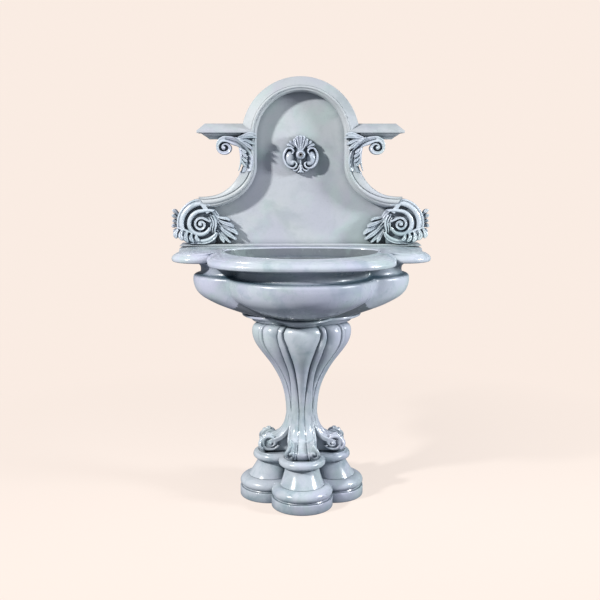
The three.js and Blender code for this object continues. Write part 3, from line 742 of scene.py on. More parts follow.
def dome(solid, x, z, radius, front, rise, squash=1.0):
    """Low round boss."""
    rows = [disc(x, z, radius, BACK, 40, squash)]
    for t in np.linspace(0, 0.96, 8) * math.pi / 2:
        rows.append(disc(x, z, radius * math.cos(t), front - rise * math.sin(t), 40, squash))
    return solid.grid(rows)


def fan(solid, fingers, rises, fronts, **shape):
    """Leaf fingers, each (knots..., width), that take turns between two rises and two fronts."""
    for k, (*knots, width) in enumerate(fingers):
        strand(solid, knots, width, rises[k % 2], fronts[k % 2], LEAF, **shape)


def carve(solid, name, material, voxel=1.2, smooth=2):
    """Grows overlapping strands together into one carved surface."""
    piece = solid.build(name, material, weld=False)
    remesh = piece.modifiers.new("grow", "REMESH")
    remesh.mode, remesh.voxel_size, remesh.use_smooth_shade = "VOXEL", voxel * MM, True
    relax = piece.modifiers.new("relax", "SMOOTH")
    relax.factor, relax.iterations = 0.5, smooth
    bpy.context.view_layer.update()
    apply_modifiers(piece)
    piece.data.shade_smooth()
    return piece


def mirror_image(piece, name):
    """The same piece on the other side of the middle plane."""
    mesh = piece.data.copy()
    flip = bmesh.new()
    flip.from_mesh(mesh)
    for vertex in flip.verts:
        vertex.co.x = -vertex.co.x
    bmesh.ops.reverse_faces(flip, faces=flip.faces)
    flip.to_mesh(mesh)
    flip.free()
    other = bpy.data.objects.new(name, mesh)
    bpy.context.scene.collection.objects.link(other)
    return other


def pair(piece, name, slot):
    """Settles a right-hand piece and its mirror image for the CAD nodes of the same name."""
    piece.name = f"{name}_carved_right"
    settle(mirror_image(piece, f"{name}_carved_left"), slot, f"{name}_left")
    settle(piece, slot, f"{name}_right")


# ---- Carved back: plain mouldings ----
CREST_Y = 250.0
INNER_RADIUS = 178.0
SWEEP_Z = 1290.0  # height where the neck turns into the sweep
PANEL_BASE = SILL_TOP + GAP


def arch():
    section = [(ARCH_RADIUS, BACK), (ARCH_RADIUS, 300), (ARCH_RADIUS - 0.8, 297.5),
               (ARCH_RADIUS - 2.5, 295.5), (230, 286), (220, 273.5), (211, 262.5), (205.5, 255.6),
               (203.4, 252.6), (202.4, 252.2), (201.4, 253.4), (200.4, 251.4), (198.6, 249.7), (196, 249),
               (193.4, 249.6), (191.4, 251.4), (190.4, 254.2), (189.6, 254.6), (187, 255), (184, 256.6),
               (181.5, 260), (179.6, 265), (178.4, 272), (INNER_RADIUS, 281), (INNER_RADIUS, BACK)]
    rows = [[(r * math.cos(a), y, ARCH_Z + r * math.sin(a)) for r, y in section]
            for a in np.linspace(0, math.pi, 129)]
    return Solid().grid(rows).build("arch_carved", PANEL, smooth=24)


def ledge():
    low, top, half = low_of("ledge_right"), high_of("ledge_right"), high_of("ledge_right", 0)
    section = [(low, -3, 3), (low + 1, -0.6, 0.6), (low + 2, 0, 0), (low + 9.6, 0, 0),
               (low + 10.8, -0.8, 0.8), (low + 11.2, -2.6, 2.6), (low + 11.8, -3.2, 3.2),
               (top - 1.6, -28, 51), (top - 0.4, -29.6, 53.6), (top, -31, 56)]
    inner, rear = 186, WALL_Y - 0.4
    rows = [[(inner, CREST_Y + back, z), (half + out, CREST_Y + back, z), (half + out, rear, z),
             (inner, rear, z)]
            for z, out, back in section]
    piece = Solid().grid(rows).build("ledge", PANEL, smooth=20)
    boolean(piece, arch(), "DIFFERENCE")
    inside = Solid().grid([disc(0, ARCH_Z, INNER_RADIUS + 20, y, 160) for y in (200.0, 400.0)])
    boolean(piece, inside.build("inside", PANEL), "DIFFERENCE")
    soften(piece, 20)
    return piece


def bed_moulding():
    low, top = low_of("bed_moulding_right"), high_of("bed_moulding_right")
    inner = low_of("bed_moulding_right", 0)
    drops = [(low, 372, 282), (low + 3.4, 373, 281), (low + 3.8, 375.4, 278.6), (low + 6, 377, 277),
             (low + 9, 380.6, 273.4), (low + 12, 386, 268), (low + 15, 391, 263.5), (low + 18, 394.4, 260.4),
             (low + 20, 395.6, 259.4), (low + 20.4, 398.6, 257), (top, 399.6, 256.4)]
    rows = [[(inner, front, z), (outer, front, z), (outer, WALL_Y, z), (inner, WALL_Y, z)]
            for z, outer, front in drops]
    return Solid().grid(rows).build("bed", PANEL, smooth=20)


def side_line(cx, a, b, neck_x, bottom, out, count=56):
    """Line down the neck and out along the sweep, as (x, z)."""
    down = np.column_stack([np.full(9, neck_x), np.linspace(ARCH_Z - GAP, SWEEP_Z, 9)])
    sweep = arc(cx, SWEEP_Z, a, b, 180, bottom, count)[1:]
    return np.vstack([down, sweep, out])


def flare(z):
    """How far the back spreads beyond the plain curve under each bracket."""
    return np.interp(z, [1157, 1168, 1185, 1210, 1234, 1262, 1292], [0, 10, 24, 33, 38, 36, 0])


def side_moulding():
    outer = side_line(412, 210, 133, 205.0, 270, [(416, 1157.4)])
    outer[:, 0] += flare(outer[:, 1])
    groove = side_line(390, 187.6, 140, 202.0, 270, [(408, 1151)])
    inner = side_line(400, 222, 180, 178.0, 264, [(381, 1110.5)])
    band = ((0.12, 258.5), (0.35, 254.5), (0.7, 252.2), (0.9, 252.4))
    roll = ((0.0, 256.4), (0.05, 254.2), (0.1, 252.0), (0.2, 249.8), (0.3, 249.2), (0.42, 250.2),
            (0.5, 252.6), (0.54, 255.4), (0.58, 255.8), (0.7, 256.4), (0.82, 259.6), (0.92, 266), (0.98, 275),
            (1.0, 284))
    rows = []
    for k, (o, g, i) in enumerate(zip(outer, groove, inner)):
        wide = ramp(np.array(k / len(outer)), 0.15, 0.6)
        line = [(*o, BACK), (*o, mix(262, 268, wide))]
        line += [(*mix(o, g, t), mix(252.2, y, wide)) for t, y in band]
        line += [(*mix(g, i, t), y) for t, y in roll]
        rows.append([(x, y, z) for x, z, y in (*line, (*i, BACK))])
    return Solid().grid(rows).build("side", PANEL, smooth=26)


def panel():
    sweep = arc(402, SWEEP_Z, 192, 150, 259, 180, 60)
    sweep[:, 0] += 0.9 * flare(sweep[:, 1])
    crown = arc(0, ARCH_Z, ARCH_RADIUS - 2, ARCH_RADIUS - 2, 3, 90, 60)
    line = joined([(440, PANEL_BASE), (440, 1070)], sweep, [(210, 1388), (225, ARCH_Z)], crown)
    outline = np.vstack([line, line[-2::-1] * np.array([-1, 1])])
    rows = [np.column_stack([outline[:, 0], np.full(len(outline), y), outline[:, 1]])
            for y in (FIELD_Y, WALL_Y)]
    piece = Solid().grid(rows).build("panel_slab", PANEL, smooth=30)
    spout = middle("supply_pipe", 2) / MM
    cuts = [[disc(0, spout, radius, y) for y in (front, WALL_Y + 5)]
            for radius, front in ((10.3, FIELD_Y - 5), (24, WALL_Y - 20))]
    for side in ("left", "right"):
        (x0, y0, z0), (x1, _, z1) = (np.array(corner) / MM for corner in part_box(f"wall_cramp_{side}"))
        plan = [(x0 - GAP, z0 - GAP), (x1 + GAP, z0 - GAP), (x1 + GAP, z1 + GAP), (x0 - GAP, z1 + GAP)]
        cuts.append([[(x, y, z) for x, z in plan] for y in (y0 - AXIS_Y / MM - GAP, WALL_Y + 5)])
    for rows in cuts:
        boolean(piece, Solid().grid(rows).build("hole", PANEL), "DIFFERENCE")
    soften(piece, 30)
    return piece


def sill_board():
    front, half = low_of("sill", 1) - AXIS_Y / MM, high_of("sill", 0)
    foot = arc(1.6, SILL_LOW + 1.8, 1.6, 1.8, -90, -180, 5)[1:]
    edge = joined([(1.2, SILL_LOW)], foot, [(0, SILL_LOW + 3), (2.2, SILL_LOW + 3.4)],
                  arc(6.2, SILL_TOP - 3.6, 4, 3.6, 180, 90, 6))
    rows = []
    for inset, z in edge:
        x, y = half - inset, front + inset
        rows.append([(-x, y, z), (x, y, z), (x, WALL_Y, z), (-x, WALL_Y, z)])
    return Solid().grid(rows).build("sill_carved", PANEL, smooth=30)


# ---- Carved back: scrolls and leaves ----
BRACKET_EYE = np.array([308.0, 1356.0])
VOLUTE_EYE = np.array([407.0, 1048.0])
BAND = [(0, 0), (0.02, 3.4), (0.06, 5.6), (0.13, 6.6), (0.2, 6.0), (0.27, 4.0), (0.34, 3.0), (0.42, 2.8),
        (0.47, -1.0), (0.5, -3.6), (0.54, -1.0), (0.6, 3.4), (0.7, 5.2), (0.8, 6.2), (0.9, 5.8), (0.96, 4.0),
        (1.0, 0)]
RIDGE = [(0, 0), (0.03, 3.4), (0.1, 5.6), (0.2, 6.4), (0.3, 5.6), (0.42, 4.4), (0.55, 4.2), (0.68, 4.8),
         (0.8, 5.6), (0.9, 5.0), (0.97, 3.0), (1.0, 0)]


def scroll_bracket():
    solid = Solid()
    outer_arm = spline([(199, 1262), (191, 1298), (196, 1330), (208, 1353), (226, 1374), (248, 1390),
                        (274, 1400), (302, 1402.5), (314, 1401.5)], 7)
    inner_arm = spline([(243, 1256), (233, 1284), (233, 1312), (236, 1336), (244, 1352), (257, 1361),
                        (274, 1366), (296, 1376), (310, 1377)], 7)
    outer, inner = spiral(BRACKET_EYE, [(97, 46.5, 23), (60, 42, 21.5), (20, 34, 21), (-20, 31, 19.5),
                                        (-60, 29, 16), (-90, 28.5, 14.5), (-135, 29, 15.5), (-180, 29, 17),
                                        (-225, 22.5, 13.5), (-270, 16.5, 9), (-315, 13, 6), (-360, 11, 4),
                                        (-405, 9.8, 2.4), (-450, 8.6, 1.2), (-495, 7.4, 0.4)])
    ribbon(solid, outer_arm, inner_arm, BAND, 253.5)
    ribbon(solid, outer, inner, RIDGE, np.linspace(253.5, 251, len(outer)))
    dome(solid, *BRACKET_EYE, 6.2, 250, 8)
    solid.grid([disc(*BRACKET_EYE, 25, y, 48) for y in (266.0, BACK)])
    strand(solid, [(234, 1280), (237, 1262), (247, 1250)], 6, 6, 262, tip=0.6, back=BACK)
    return carve(solid, "bracket", CARVED, 1.2)


def leaf_upper():
    solid = Solid()
    fingers = [((252, 1396), (226, 1405), (198, 1411), (178, 1407), 7.6),
               ((248, 1391), (216, 1397), (192, 1399), (175, 1393), 7.4),
               ((246, 1388), (218, 1384), (198, 1375), (183, 1368), 8.0),
               ((247, 1385), (224, 1373), (206, 1360), (192, 1347), 7.8)]
    fan(solid, fingers, (9, 12), (246, 245), tip=0.5, root=0.4, fat=0.66, back=253, curl=5)
    strand(solid, [(262, 1396), (246, 1388), (226, 1378)], 6, 8, 245, tip=0.4, back=253)
    return carve(solid, "leaf", CARVED, 1.0, 1)


def leaf_neck():
    solid = Solid()
    fingers = [((243, 1356), (232, 1346), (218, 1334), 6.6), ((241, 1342), (229, 1329), (214, 1316), 7.2),
               ((240, 1326), (229, 1311), (215, 1298), 7.2), ((241, 1310), (232, 1294), (221, 1281), 6.8)]
    fan(solid, fingers, (8, 10), (247, 247), tip=0.5, root=0.5, back=254, curl=4)
    stalk = [(245, 1356), (240, 1326), (242, 1294), (251, 1262)]
    strand(solid, stalk, 5.2, 9, 247, tip=0.4, root=0.9, fat=0.3, back=254, curl=4)
    return carve(solid, "leaf", CARVED, 1.0, 1)


def from_eye(*points):
    """Points given from the eye of the right volute, x outward and z up, in the drawing frame."""
    return [(VOLUTE_EYE[0] + x, VOLUTE_EYE[1] + z) for x, z in points]


TORUS = [(0, 0), (0.03, 3.4), (0.09, 5.4), (0.18, 5.6), (0.24, 3.8), (0.275, 0.6), (0.31, 2.0), (0.4, 4.8),
         (0.54, 7.2), (0.7, 7.8), (0.84, 6.2), (0.95, 2.4), (1, -5)]
BROAD = [(0, -5), (0.05, 1.6), (0.16, 5.0), (0.34, 7.4), (0.55, 8.2), (0.75, 7.0), (0.9, 4.0), (0.97, 0.6),
         (1, -5)]


# Rolls of the volute, from the outside in, as (section, y at the start, y at the end, turns), where a turn is
# (angle, outer radius, inner radius) round the eye.
VOLUTE_ROLLS = [
    (TORUS, 262, 262, [
        (118, 97, 80), (106, 101, 76), (92, 102.5, 73), (70, 103, 70.5), (48, 101, 69), (23, 100, 68),
        (0, 99, 67), (-19, 99, 66.5), (-40, 99, 66), (-60, 93, 65), (-80, 84, 62), (-100, 83.5, 61),
        (-120, 84, 62), (-138, 82, 64), (-152, 77, 68)]),
    (BROAD, 259, 259, [
        (134, 82, 66), (122, 74, 58), (108, 66, 50), (94, 62.5, 45), (72, 60.5, 42.5), (48, 59, 40),
        (23, 58, 38), (0, 57.5, 36.5), (-19, 57, 35.5), (-40, 56, 34.5), (-60, 54, 33.5), (-80, 52, 32.5),
        (-100, 50, 31.5), (-120, 48, 31), (-140, 46, 31), (-160, 44, 32)]),
    (RIDGE, 256, 250, [
        (168, 44, 35), (146, 35, 25), (120, 31.5, 21.5), (90, 30.5, 20.5), (45, 29, 19), (15, 28, 18),
        (-30, 26.5, 16), (-80, 25, 14.5), (-130, 22.5, 12), (-180, 19.5, 9.4), (-230, 17, 7.4),
        (-280, 14.4, 5.2), (-330, 12, 3), (-380, 10, 1.4), (-420, 8.4, 0.4)]),
]
VOLUTE_FOOT = PANEL_BASE + 0.4


def volute():
    solid = Solid()
    for section, start, end, turns in VOLUTE_ROLLS:
        outer, inner = spiral(VOLUTE_EYE, turns)
        for line in (outer, inner):
            line[:, 1] = np.maximum(line[:, 1], VOLUTE_FOOT)
        ribbon(solid, outer, inner, section, np.linspace(start, end, len(outer)))
    dome(solid, VOLUTE_EYE[0] + 1, VOLUTE_EYE[1] - 1, 7.0, 250, 8)
    for radius, end, width in ((42, 54, 3.4), (51, 63, 4.2), (61, 72, 4.6)):
        bend = [(radius, angle) for angle in (142, 162, 182, 202)] + [(end, 218)]
        line = [(r * math.cos(math.radians(t)), r * math.sin(math.radians(t))) for r, t in bend]
        strand(solid, from_eye(*line), width, 7, 262, tip=0.4, root=0.8, fat=0.5, back=BACK)
    solid.grid([disc(VOLUTE_EYE[0], VOLUTE_EYE[1] - 1, 80, y) for y in (277.0, BACK)])
    filler = [(378, 1122), (354, 1092), (341, 1060), (340, 1024), (352, VOLUTE_FOOT), (440, VOLUTE_FOOT),
              (440, 1130)]
    step = [(368, 1098), (382, 1118), (408, 1146), (412, 1132), (382, 1090)]
    for plan, front in ((filler, 279.0), (step, 254.0)):
        solid.grid([[(x, y, z) for x, z in plan] for y in (front, BACK)])
    return carve(solid, "volute", CARVED, 1.3, 1)


def leaf_inner():
    solid = Solid()
    fingers = [((354, 1080), (330, 1073), (302, 1068), (289, 1060), 6.4),
               ((350, 1068), (318, 1054), (288, 1043), (274, 1034), 8.8),
               ((347, 1058), (304, 1034), (272, 1016), (258, 1003), 10.2),
               ((345, 1046), (304, 1012), (278, 994), (264, 983), 9.8),
               ((344, 1034), (316, 998), (299, 981), (288, 971), 9.4),
               ((345, 1024), (328, 996), (318, 980), (314, 970), 8)]
    fan(solid, fingers, (11, 14), (284, 281), tip=0.5, root=0.5, fat=0.66, back=BACK, curl=12)
    stalk = [(372, 1088), (352, 1068), (324, 1038), (300, 1012)]
    strand(solid, stalk, 5, 12, 276, tip=0.3, root=0.9, fat=0.2, back=BACK, curl=-4)
    sheath = [(364, 1096), (350, 1082), (338, 1066), (330, 1052)]
    strand(solid, sheath, 7, 9, 280, tip=0.4, root=1, fat=0.3, back=BACK)
    return carve(solid, "leaf", CARVED, 1.1, 1)


def leaf_outer():
    solid = Solid()
    fringe = [((92, 34), (103, 48), (118, 58), 7.6), ((94, 20), (107, 31), (121, 36), 8.2),
              ((95, 2), (109, 12), (119, 12), 8.4), ((95, -13), (110, -7), (122, -11), 8.6),
              ((92, -27), (105, -27), (115, -34), 8.6)]
    fringe = [(*from_eye(*knots), width) for *knots, width in fringe]
    fan(solid, fringe, (9, 12), (281, 281), tip=0.42, back=303, curl=6)
    lobes = [((94, -20), (104, -40), (99, -58), 10), ((76, -22), (84, -46), (74, -66), 10.4),
             ((56, -30), (63, -54), (51, -73), 10.2), ((37, -36), (41, -57), (28, -73), 9.4),
             ((18, -40), (19, -57), (6, -69), 8.4)]
    lobes = [(*from_eye(*knots), width) for *knots, width in lobes]
    fan(solid, lobes, (9, 12), (256, 257), tip=0.5, root=0.5, fat=0.6, back=270, curl=3)
    stalk = from_eye((98, -14), (72, -22), (44, -32), (16, -38), (-6, -40))
    strand(solid, stalk, 5.4, 8, 259, tip=0.4, root=0.8, fat=0.4, back=274)
    return carve(solid, "leaf", CARVED, 1.1, 1)


PIPE_SHADE_RADIUS = 5.0


def pipe_shade_disc():
    """Dark domed disc inside the supply pipe, put there as painted shade: it stands in for the darkness deep
    in the pipe seen through the spout's bore.
    """
    radius, y = PIPE_SHADE_RADIUS, middle("supply_pipe", 1) / MM - AXIS_Y / MM
    profile = [(0, y - 2.4), (radius * 0.5, y - 2.0), (radius * 0.85, y - 0.8), (radius, y),
               (radius, y + 1.2), (0, y + 1.2)]
    return lathe("supply_pipe_shade_disc", profile, RUBBER, middle("supply_pipe", 2) / MM, 48)


def rosette_side(solid, side, z0):
    """One half of the rosette: its C scroll, ear and leaves, as points from the middle of the spout."""

    def at(*points):
        return [(side * x, z0 + z) for x, z in points]

    dome(solid, side * 44, z0 - 15, 21, 290, 19, squash=1.5)
    dome(solid, side * 36, z0 - 30, 15, 288, 15, squash=1.1)
    hoop = at((40, 26), (55, 24), (66, 7), (68, -12), (62, -34), (49, -49), (31, -54), (19, -46), (17, -35),
              (25, -28), (32, -33))
    strand(solid, hoop, 5.2, 10, 282, tip=0.8, root=0.8, fat=0.3, back=BACK)
    hook = at((48, 26), (36, 24), (29, 14), (33, 4), (42, 5), (42, 12))
    strand(solid, hook, 4.8, 10, 281, tip=0.7, root=0.9, fat=0.2, back=BACK)
    for ear in (((26, 28), (40, 36), (57, 41)), ((22, 34), (34, 46), (45, 55))):
        strand(solid, at(*ear), 6.6, 9, 286, LEAF, tip=0.6, fat=0.75, back=BACK, curl=3)
    for x, z in ((14, 76), (27, 65)):
        palmette(solid, at((x * 0.2, 14), (x * 0.7, z * 0.6), (x, z)), 6.4, 10, 282)
    strand(solid, at((5, -40), (10, -56), (22, -64), (33, -60)), 4.4, 9, 286, tip=0.6, root=0.6, back=BACK)
    strand(solid, at((1, -52), (5, -66), (12, -72)), 4.6, 8, 287, tip=0.8, back=BACK)


def palmette(solid, knots, width, rise, front):
    strand(solid, knots, width, rise, front, LEAF, tip=0.75, root=0.35, fat=0.88, back=BACK, curl=3)


def rosette():
    z0 = middle("supply_pipe", 2) / MM
    solid = Solid()
    dome(solid, 0, z0 - 8, 55, 300, 12, squash=1.06)
    dome(solid, 0, z0 + 40, 34, 300, 10, squash=1.15)
    for side in (-1, 1):
        rosette_side(solid, side, z0)
    palmette(solid, [(0, z0 + 14), (0, z0 + 46), (0, z0 + 79)], 6.6, 11, 280)
    tail = [(0, z0 - 16), (0, z0 - 46), (0, z0 - 74)]
    strand(solid, tail, 5.6, 9, 284, root=0.5, tip=0.7, fat=0.85, back=BACK)
    boss = [(22, 300.0), (20, 282.0), (18.6, 268.0), (17.6, 259.0), (16, 255.0), (13.6, 252.6), (11, 251.6)]
    solid.grid([disc(0, z0, radius, y) for radius, y in boss])
    piece = carve(solid, "rosette_carved", CARVED, 1.0, 1)
    bore = Solid().grid([disc(0, z0, 9.4, y) for y in (240.0, 330.0)])
    boolean(piece, bore.build("bore", CARVED), "DIFFERENCE")
    return piece


# ---- Legs ----
LEG_EYE = np.array([122.0, 220.0])  # radius and height of the scroll's eye
LEG_CORE = 32  # half-width of the leg's core, on which the side scrolls lie


def tube(solid, path, radii, sides=14):
    """Round strand through points in space, closed at both ends."""
    path, radii = np.asarray(path, float), np.asarray(radii, float)
    along = np.gradient(path, axis=0)
    along /= np.linalg.norm(along, axis=1, keepdims=True)
    side = np.cross(along, np.array([0.31, 0.22, 0.92]))
    side /= np.linalg.norm(side, axis=1, keepdims=True)
    up = np.cross(side, along)
    a = full_turn(sides)[None, :, None]
    return solid.grid(path[:, None] + radii[:, None, None] * (side[:, None] * np.cos(a) + up[:,
            None] * np.sin(a)))


# Leg in its radial plane: (radius, height, half-width, half-width of the middle strip, how far it is still
# bent round the stem).
LEG_LINE = spline([
    (55.5, 366, 41, 9.4, 1), (57.5, 352, 41.5, 9.6, 1), (59.5, 326, 43, 10.2, 1), (65, 300, 47, 11.4, 0.9),
    (77, 273, 52, 13.2, 0.75), (94, 252, 56, 15, 0.6), (114, 240, 56, 17, 0.5), (136, 231, 52, 18.6, 0.4),
    (151, 218, 42, 20, 0.3), (158, 206, 36, 21.5, 0.25), (155, 192, 33, 23, 0.2),
    (149, BASE_TOP + 1.2, 31, 23.6, 0.2),
], 6)
LEG_BED = 16.0  # thickness of the ribbon behind its face
LEG_FOOT = BASE_TOP + 1.0
STEM_ROUND = 60  # radius that a leg's ribbon is bent round beside the stem
# Rib on each side of the middle strip, as (part of the way out, lift).
RIB_PARTS = [(0.07, 1.0), (0.2, 2.3), (0.42, 2.9), (0.6, 2.3), (0.69, -0.2), (0.735, -1.6), (0.78, 0.0),
             (0.87, 1.7), (0.95, 1.1), (1.0, -2.4)]
# Scroll on each side of a leg: (angle, outer radius, inner radius) round its eye.
SCROLL_TURNS = [(-165, 38, 27), (-125, 32, 22), (-90, 30, 20), (-45, 35, 22), (0, 40.5, 24.5), (45, 37, 23),
                (90, 30.5, 18.5), (135, 26.5, 15.5), (180, 22.5, 12.5), (225, 17.5, 9.2), (270, 14.4, 7.2),
                (315, 12.4, 5.2), (360, 10.6, 3.4), (405, 8.8, 1.4), (440, 7.4, 0.3)]


def leg_section(half, strip):
    """Half of the front of a leg as (distance from its middle, lift)."""
    middle_strip = [(0, 1.9), (0.4 * strip, 1.7), (0.75 * strip, 1.0)]
    groove = [(strip - 1.4, -1.0), (strip - 0.4, -3.6), (strip + 0.5, -3.6), (strip + 1.4, -1.0)]
    return middle_strip + groove + [(mix(strip + 1.4, half, part), lift) for part, lift in RIB_PARTS]


def leg_scroll(solid, side, spin):
    """Spiral relief on one side of a leg, its eye and the leaf lying over its top."""
    outer, inner = spiral(LEG_EYE, SCROLL_TURNS)
    for line in (outer, inner):
        line[:, 1] = np.maximum(line[:, 1], LEG_FOOT)
    rows = []
    for o, i, face in zip(outer, inner, np.linspace(49, 53, len(outer))):
        across = [(*mix(o, i, part), side * (face + 4 * lift)) for part, lift in ROUND]
        rows.append([(r, y, z) for r, z, y in [(*o, side * LEG_CORE), *across, (*i, side * LEG_CORE)]])
    solid.grid(np.array(rows) @ spin)
    for radius, faces in ((27, (30, 45)), (5.4, (40, 48, 54, 56.4)), (3.2, (50, 58))):
        solid.grid(np.array([disc(LEG_EYE[0] - 1, LEG_EYE[1], radius, side * y, 40) for y in faces]) @ spin)
    blades = ((4.6, ((148, 246), (134, 253), (117, 252), (106, 245))),
              (3.4, ((142, 250), (134, 258), (123, 259))),
              (3.2, ((154, 240), (152, 250), (145, 255))))
    for width, knots in blades:
        line = spline(knots, 7)
        size = width * np.interp(np.linspace(0, 1, len(line)), [0, 0.5, 1], [0.8, 1, 0.5])
        tube(solid, np.column_stack([line[:, 0], np.full(len(line), side * 44.0), line[:, 1]]) @ spin, size)
    line = spline([(38, 258), (42, 244), (52, 231), (61, 215), (57, 200), (45, 195), (36, 204), (40, 216),
                   (49, 212)], 7)
    rise = np.clip((line[:, 1] - LEG_EYE[1]) / 33.0, -1, 1)
    upward = LEG_LINE[::-1]
    ribbon_face = np.interp(line[:, 1], upward[:, 1], upward[:, 0]) - 4
    out = 1.5 + np.maximum(LEG_EYE[0] + 40.5 * np.sqrt(1 - rise**2), ribbon_face)
    size = np.interp(np.linspace(0, 1, len(line)), [0, 0.3, 0.8, 1], [2.4, 6.0, 4.8, 5.8])
    tube(solid, np.column_stack([out, side * line[:, 0], line[:, 1]]) @ spin, size)


def leg(quarter):
    along = np.gradient(LEG_LINE[:, :2], axis=0)
    along /= np.linalg.norm(along, axis=1, keepdims=True)
    outward = np.column_stack([-along[:, 1], along[:, 0]])
    rows = []
    for (r, z, half, strip, bent), n in zip(LEG_LINE, outward):
        front = leg_section(half, strip)
        front = [(-t, h) for t, h in front[:0:-1]] + front
        sunk = [bent * (STEM_ROUND - math.sqrt(STEM_ROUND**2 - min(abs(t), 45.0) ** 2)) for t, _ in front]
        line = [(r + h * n[0] - drop, t, z + h * n[1]) for (t, h), drop in zip(front, sunk)]
        line += [(r - LEG_BED * n[0] - sunk[0], t * half, z - LEG_BED * n[1]) for t in (0.96, -0.96)]
        rows.append(line)
    turn = quarter * math.pi / 2
    c, s = math.cos(turn), math.sin(turn)
    spin = np.array([[c, s, 0], [-s, c, 0], [0, 0, 1]])
    solid = Solid().grid(np.array(rows) @ spin)
    heel = [(50, 340), (58, 300), (72, 264), (98, 243), (122, 233), (143, 222), (149, 206), (146, LEG_FOOT),
            (50, LEG_FOOT)]
    solid.grid(np.array([[(r, y, z) for r, z in heel] for y in (-34.0, 34.0)]) @ spin)
    for side in (-1, 1):
        leg_scroll(solid, side, spin)
    return solid


# ---- Camera, light and floor ----
BACKDROP = (0.956, 0.840, 0.768)
AMBIENT = (0.82, 0.88, 1.0)
AMBIENT_STRENGTH = 0.28
FLOOR = (0.80, 0.71, 0.65)
FLOOR_RADIUS = 6
# Camera, in metres and degrees, its place given from the stem's axis.
CAMERA_PLACE = (-0.0524, -3.4193, 1.3266)
CAMERA_DOWN, CAMERA_RIGHT = 9.15, 0.77
CAMERA_LENS, CAMERA_SENSOR = 54.0, 36.0
# Area lights: name, place, target, size, watts and colour.
LIGHTS = [
    ("key", (-3.2, -2.2, 3.15), (0, 0, 1.1), 0.36, 290, (1.0, 0.985, 0.96)), ("side", (3.0, -0.9, 1.9),
    (0, 0, 0.8), 0.7, 130, (0.95, 0.98, 1)), ("low", (0.3, -3.4, 0.7), (0, 0, 0.6), 1.6, 4, (0.85, 0.93, 1)),
]


def camera():
    made = bpy.data.objects.new("camera", bpy.data.cameras.new("camera"))
    bpy.context.scene.collection.objects.link(made)
    made.data.sensor_width, made.data.lens = CAMERA_SENSOR, CAMERA_LENS
    x, y, z = CAMERA_PLACE
    made.location = (x, AXIS_Y + y, z)
    made.rotation_euler = (math.radians(90 - CAMERA_DOWN), 0, math.radians(-CAMERA_RIGHT))
    bpy.context.scene.camera = made


def area_light(name, place_at, target, size, power, colour):
    light = bpy.data.lights.new(name, "AREA")
    light.shape, light.size, light.energy, light.color = "DISK", size, power, colour
    made = bpy.data.objects.new(name, light)
    made.location = place_at
    made.rotation_euler = (Vector(target) - Vector(place_at)).to_track_quat("-Z", "Y").to_euler()
    bpy.context.scene.collection.objects.link(made)


def backdrop_world():
    """Bright backdrop behind everything, which itself lights the stone only softly."""
    world = bpy.data.worlds.new("studio")
    world.use_nodes = True
    tree = world.node_tree
    soft = tree.nodes["Background"]
    soft.inputs["Color"].default_value = (*AMBIENT, 1)
    soft.inputs["Strength"].default_value = AMBIENT_STRENGTH
    seen = node(tree, "ShaderNodeBackground", {"Color": (*BACKDROP, 1), "Strength": 1.0})
    path = node(tree, "ShaderNodeLightPath")
    both = node(tree, "ShaderNodeMixShader", {0: path.outputs["Is Camera Ray"]})
    tree.links.new(soft.outputs["Background"], both.inputs[1])
    tree.links.new(seen.outputs["Background"], both.inputs[2])
    tree.links.new(both.outputs["Shader"], tree.nodes["World Output"].inputs["Surface"])
    bpy.context.scene.world = world


def floor_finish():
    """Pale floor that fades into the backdrop away from the object."""
    made = bpy.data.materials.new("floor")
    made.use_nodes = True
    tree = made.node_tree
    stone = tree.nodes["Principled BSDF"]
    stone.inputs["Base Color"].default_value = (*FLOOR, 1)
    stone.inputs["Roughness"].default_value = 0.95
    far = node(tree, "ShaderNodeEmission", {"Color": (*BACKDROP, 1), "Strength": 1.0})
    where = node(tree, "ShaderNodeTexCoord").outputs["Object"]
    distance = node(tree, "ShaderNodeVectorMath", {0: where}, operation="LENGTH").outputs["Value"]
    fade = node(tree, "ShaderNodeMapRange", {"Value": distance, "From Min": 0.4, "From Max": 2.2,
                                             "To Min": 0.75, "To Max": 1.0})
    both = node(tree, "ShaderNodeMixShader", {0: fade.outputs["Result"], 1: stone.outputs["BSDF"],
                                              2: far.outputs["Emission"]})
    tree.links.new(both.outputs["Shader"], tree.nodes["Material Output"].inputs["Surface"])
    return made


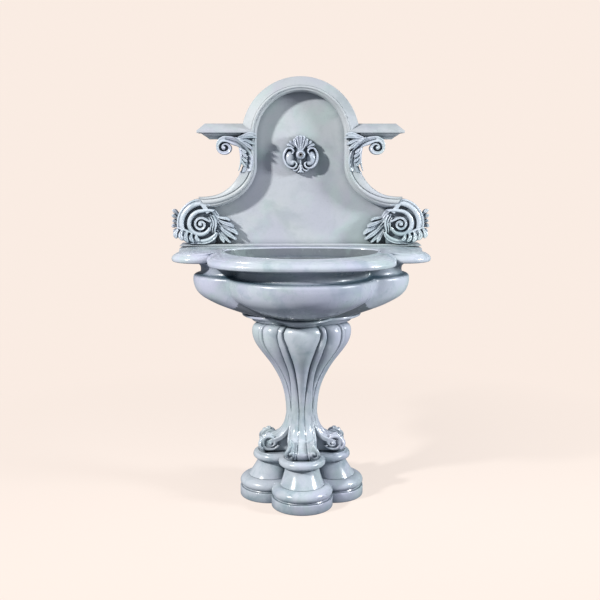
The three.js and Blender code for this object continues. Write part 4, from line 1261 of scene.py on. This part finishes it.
def studio():
    bpy.context.scene.view_settings.view_transform = "Standard"
    backdrop_world()
    for light in LIGHTS:
        area_light(*light)
    floor = bpy.data.meshes.new("floor")
    ring = [(FLOOR_RADIUS * math.cos(t), FLOOR_RADIUS * math.sin(t), 0) for t in full_turn(96)]
    floor.from_pydata(ring, [], [list(range(len(ring)))])
    ground = bpy.data.objects.new("floor", floor)
    bpy.context.scene.collection.objects.link(ground)
    floor.materials.append(floor_finish())
    ground.visible_diffuse = ground.visible_glossy = False


camera()
studio()

settle(plinth(), "polished_marble", "plinth_slab")
settle(base_block(), "polished_marble", "base_block")
settle(stem(), "polished_marble", "stem")
for quarter, side_name in enumerate(("right", "back", "left", "front")):
    leg_piece = carve(leg(quarter), f"leg_{side_name}", POLISHED, 1.3, 1)
    settle(leg_piece, "polished_marble", f"foot_scroll_{side_name}")
settle(collar(), "polished_marble", "collar")
settle(bowl(), "polished_marble", "basin_bowl")
settle(rim(), "polished_marble", "basin_rim")
settle(flange(), "chrome", "waste_flange")
settle(plug(), "chrome", "waste_plug", body=PLUG)
settle(knob(), "chrome", "plug_knob", body=PLUG)
settle(sill_board(), "panel_marble", "sill")
settle(panel(), "panel_marble", "back_panel")
settle(arch(), "panel_marble", "arch_moulding")
for name, make in (("ledge", ledge), ("bed_moulding", bed_moulding), ("side_moulding", side_moulding)):
    pair(make(), name, "panel_marble")
for name, make in (("scroll_bracket", scroll_bracket), ("volute", volute), ("leaf_upper", leaf_upper),
                   ("leaf_neck", leaf_neck), ("leaf_inner", leaf_inner), ("leaf_outer", leaf_outer)):
    pair(make(), name, "carved_marble")
settle(rosette(), "carved_marble", "rosette")
# dark disc in the spout's pipe, painting the shade inside it
settle(pipe_shade_disc(), "rubber")

FINISHES = {"polished_marble": POLISHED, "panel_marble": PANEL, "carved_marble": CARVED, "stainless": STEEL,
            "brass": BRASS, "chrome": CHROME, "rubber": RUBBER}
slots = {row["node"]: row["material_slot"] for row in frame["record"]["subparts"]}
for name, piece in frame["nodes"].items():
    for slot in piece.material_slots:
        slot.material = FINISHES[slots[name]]
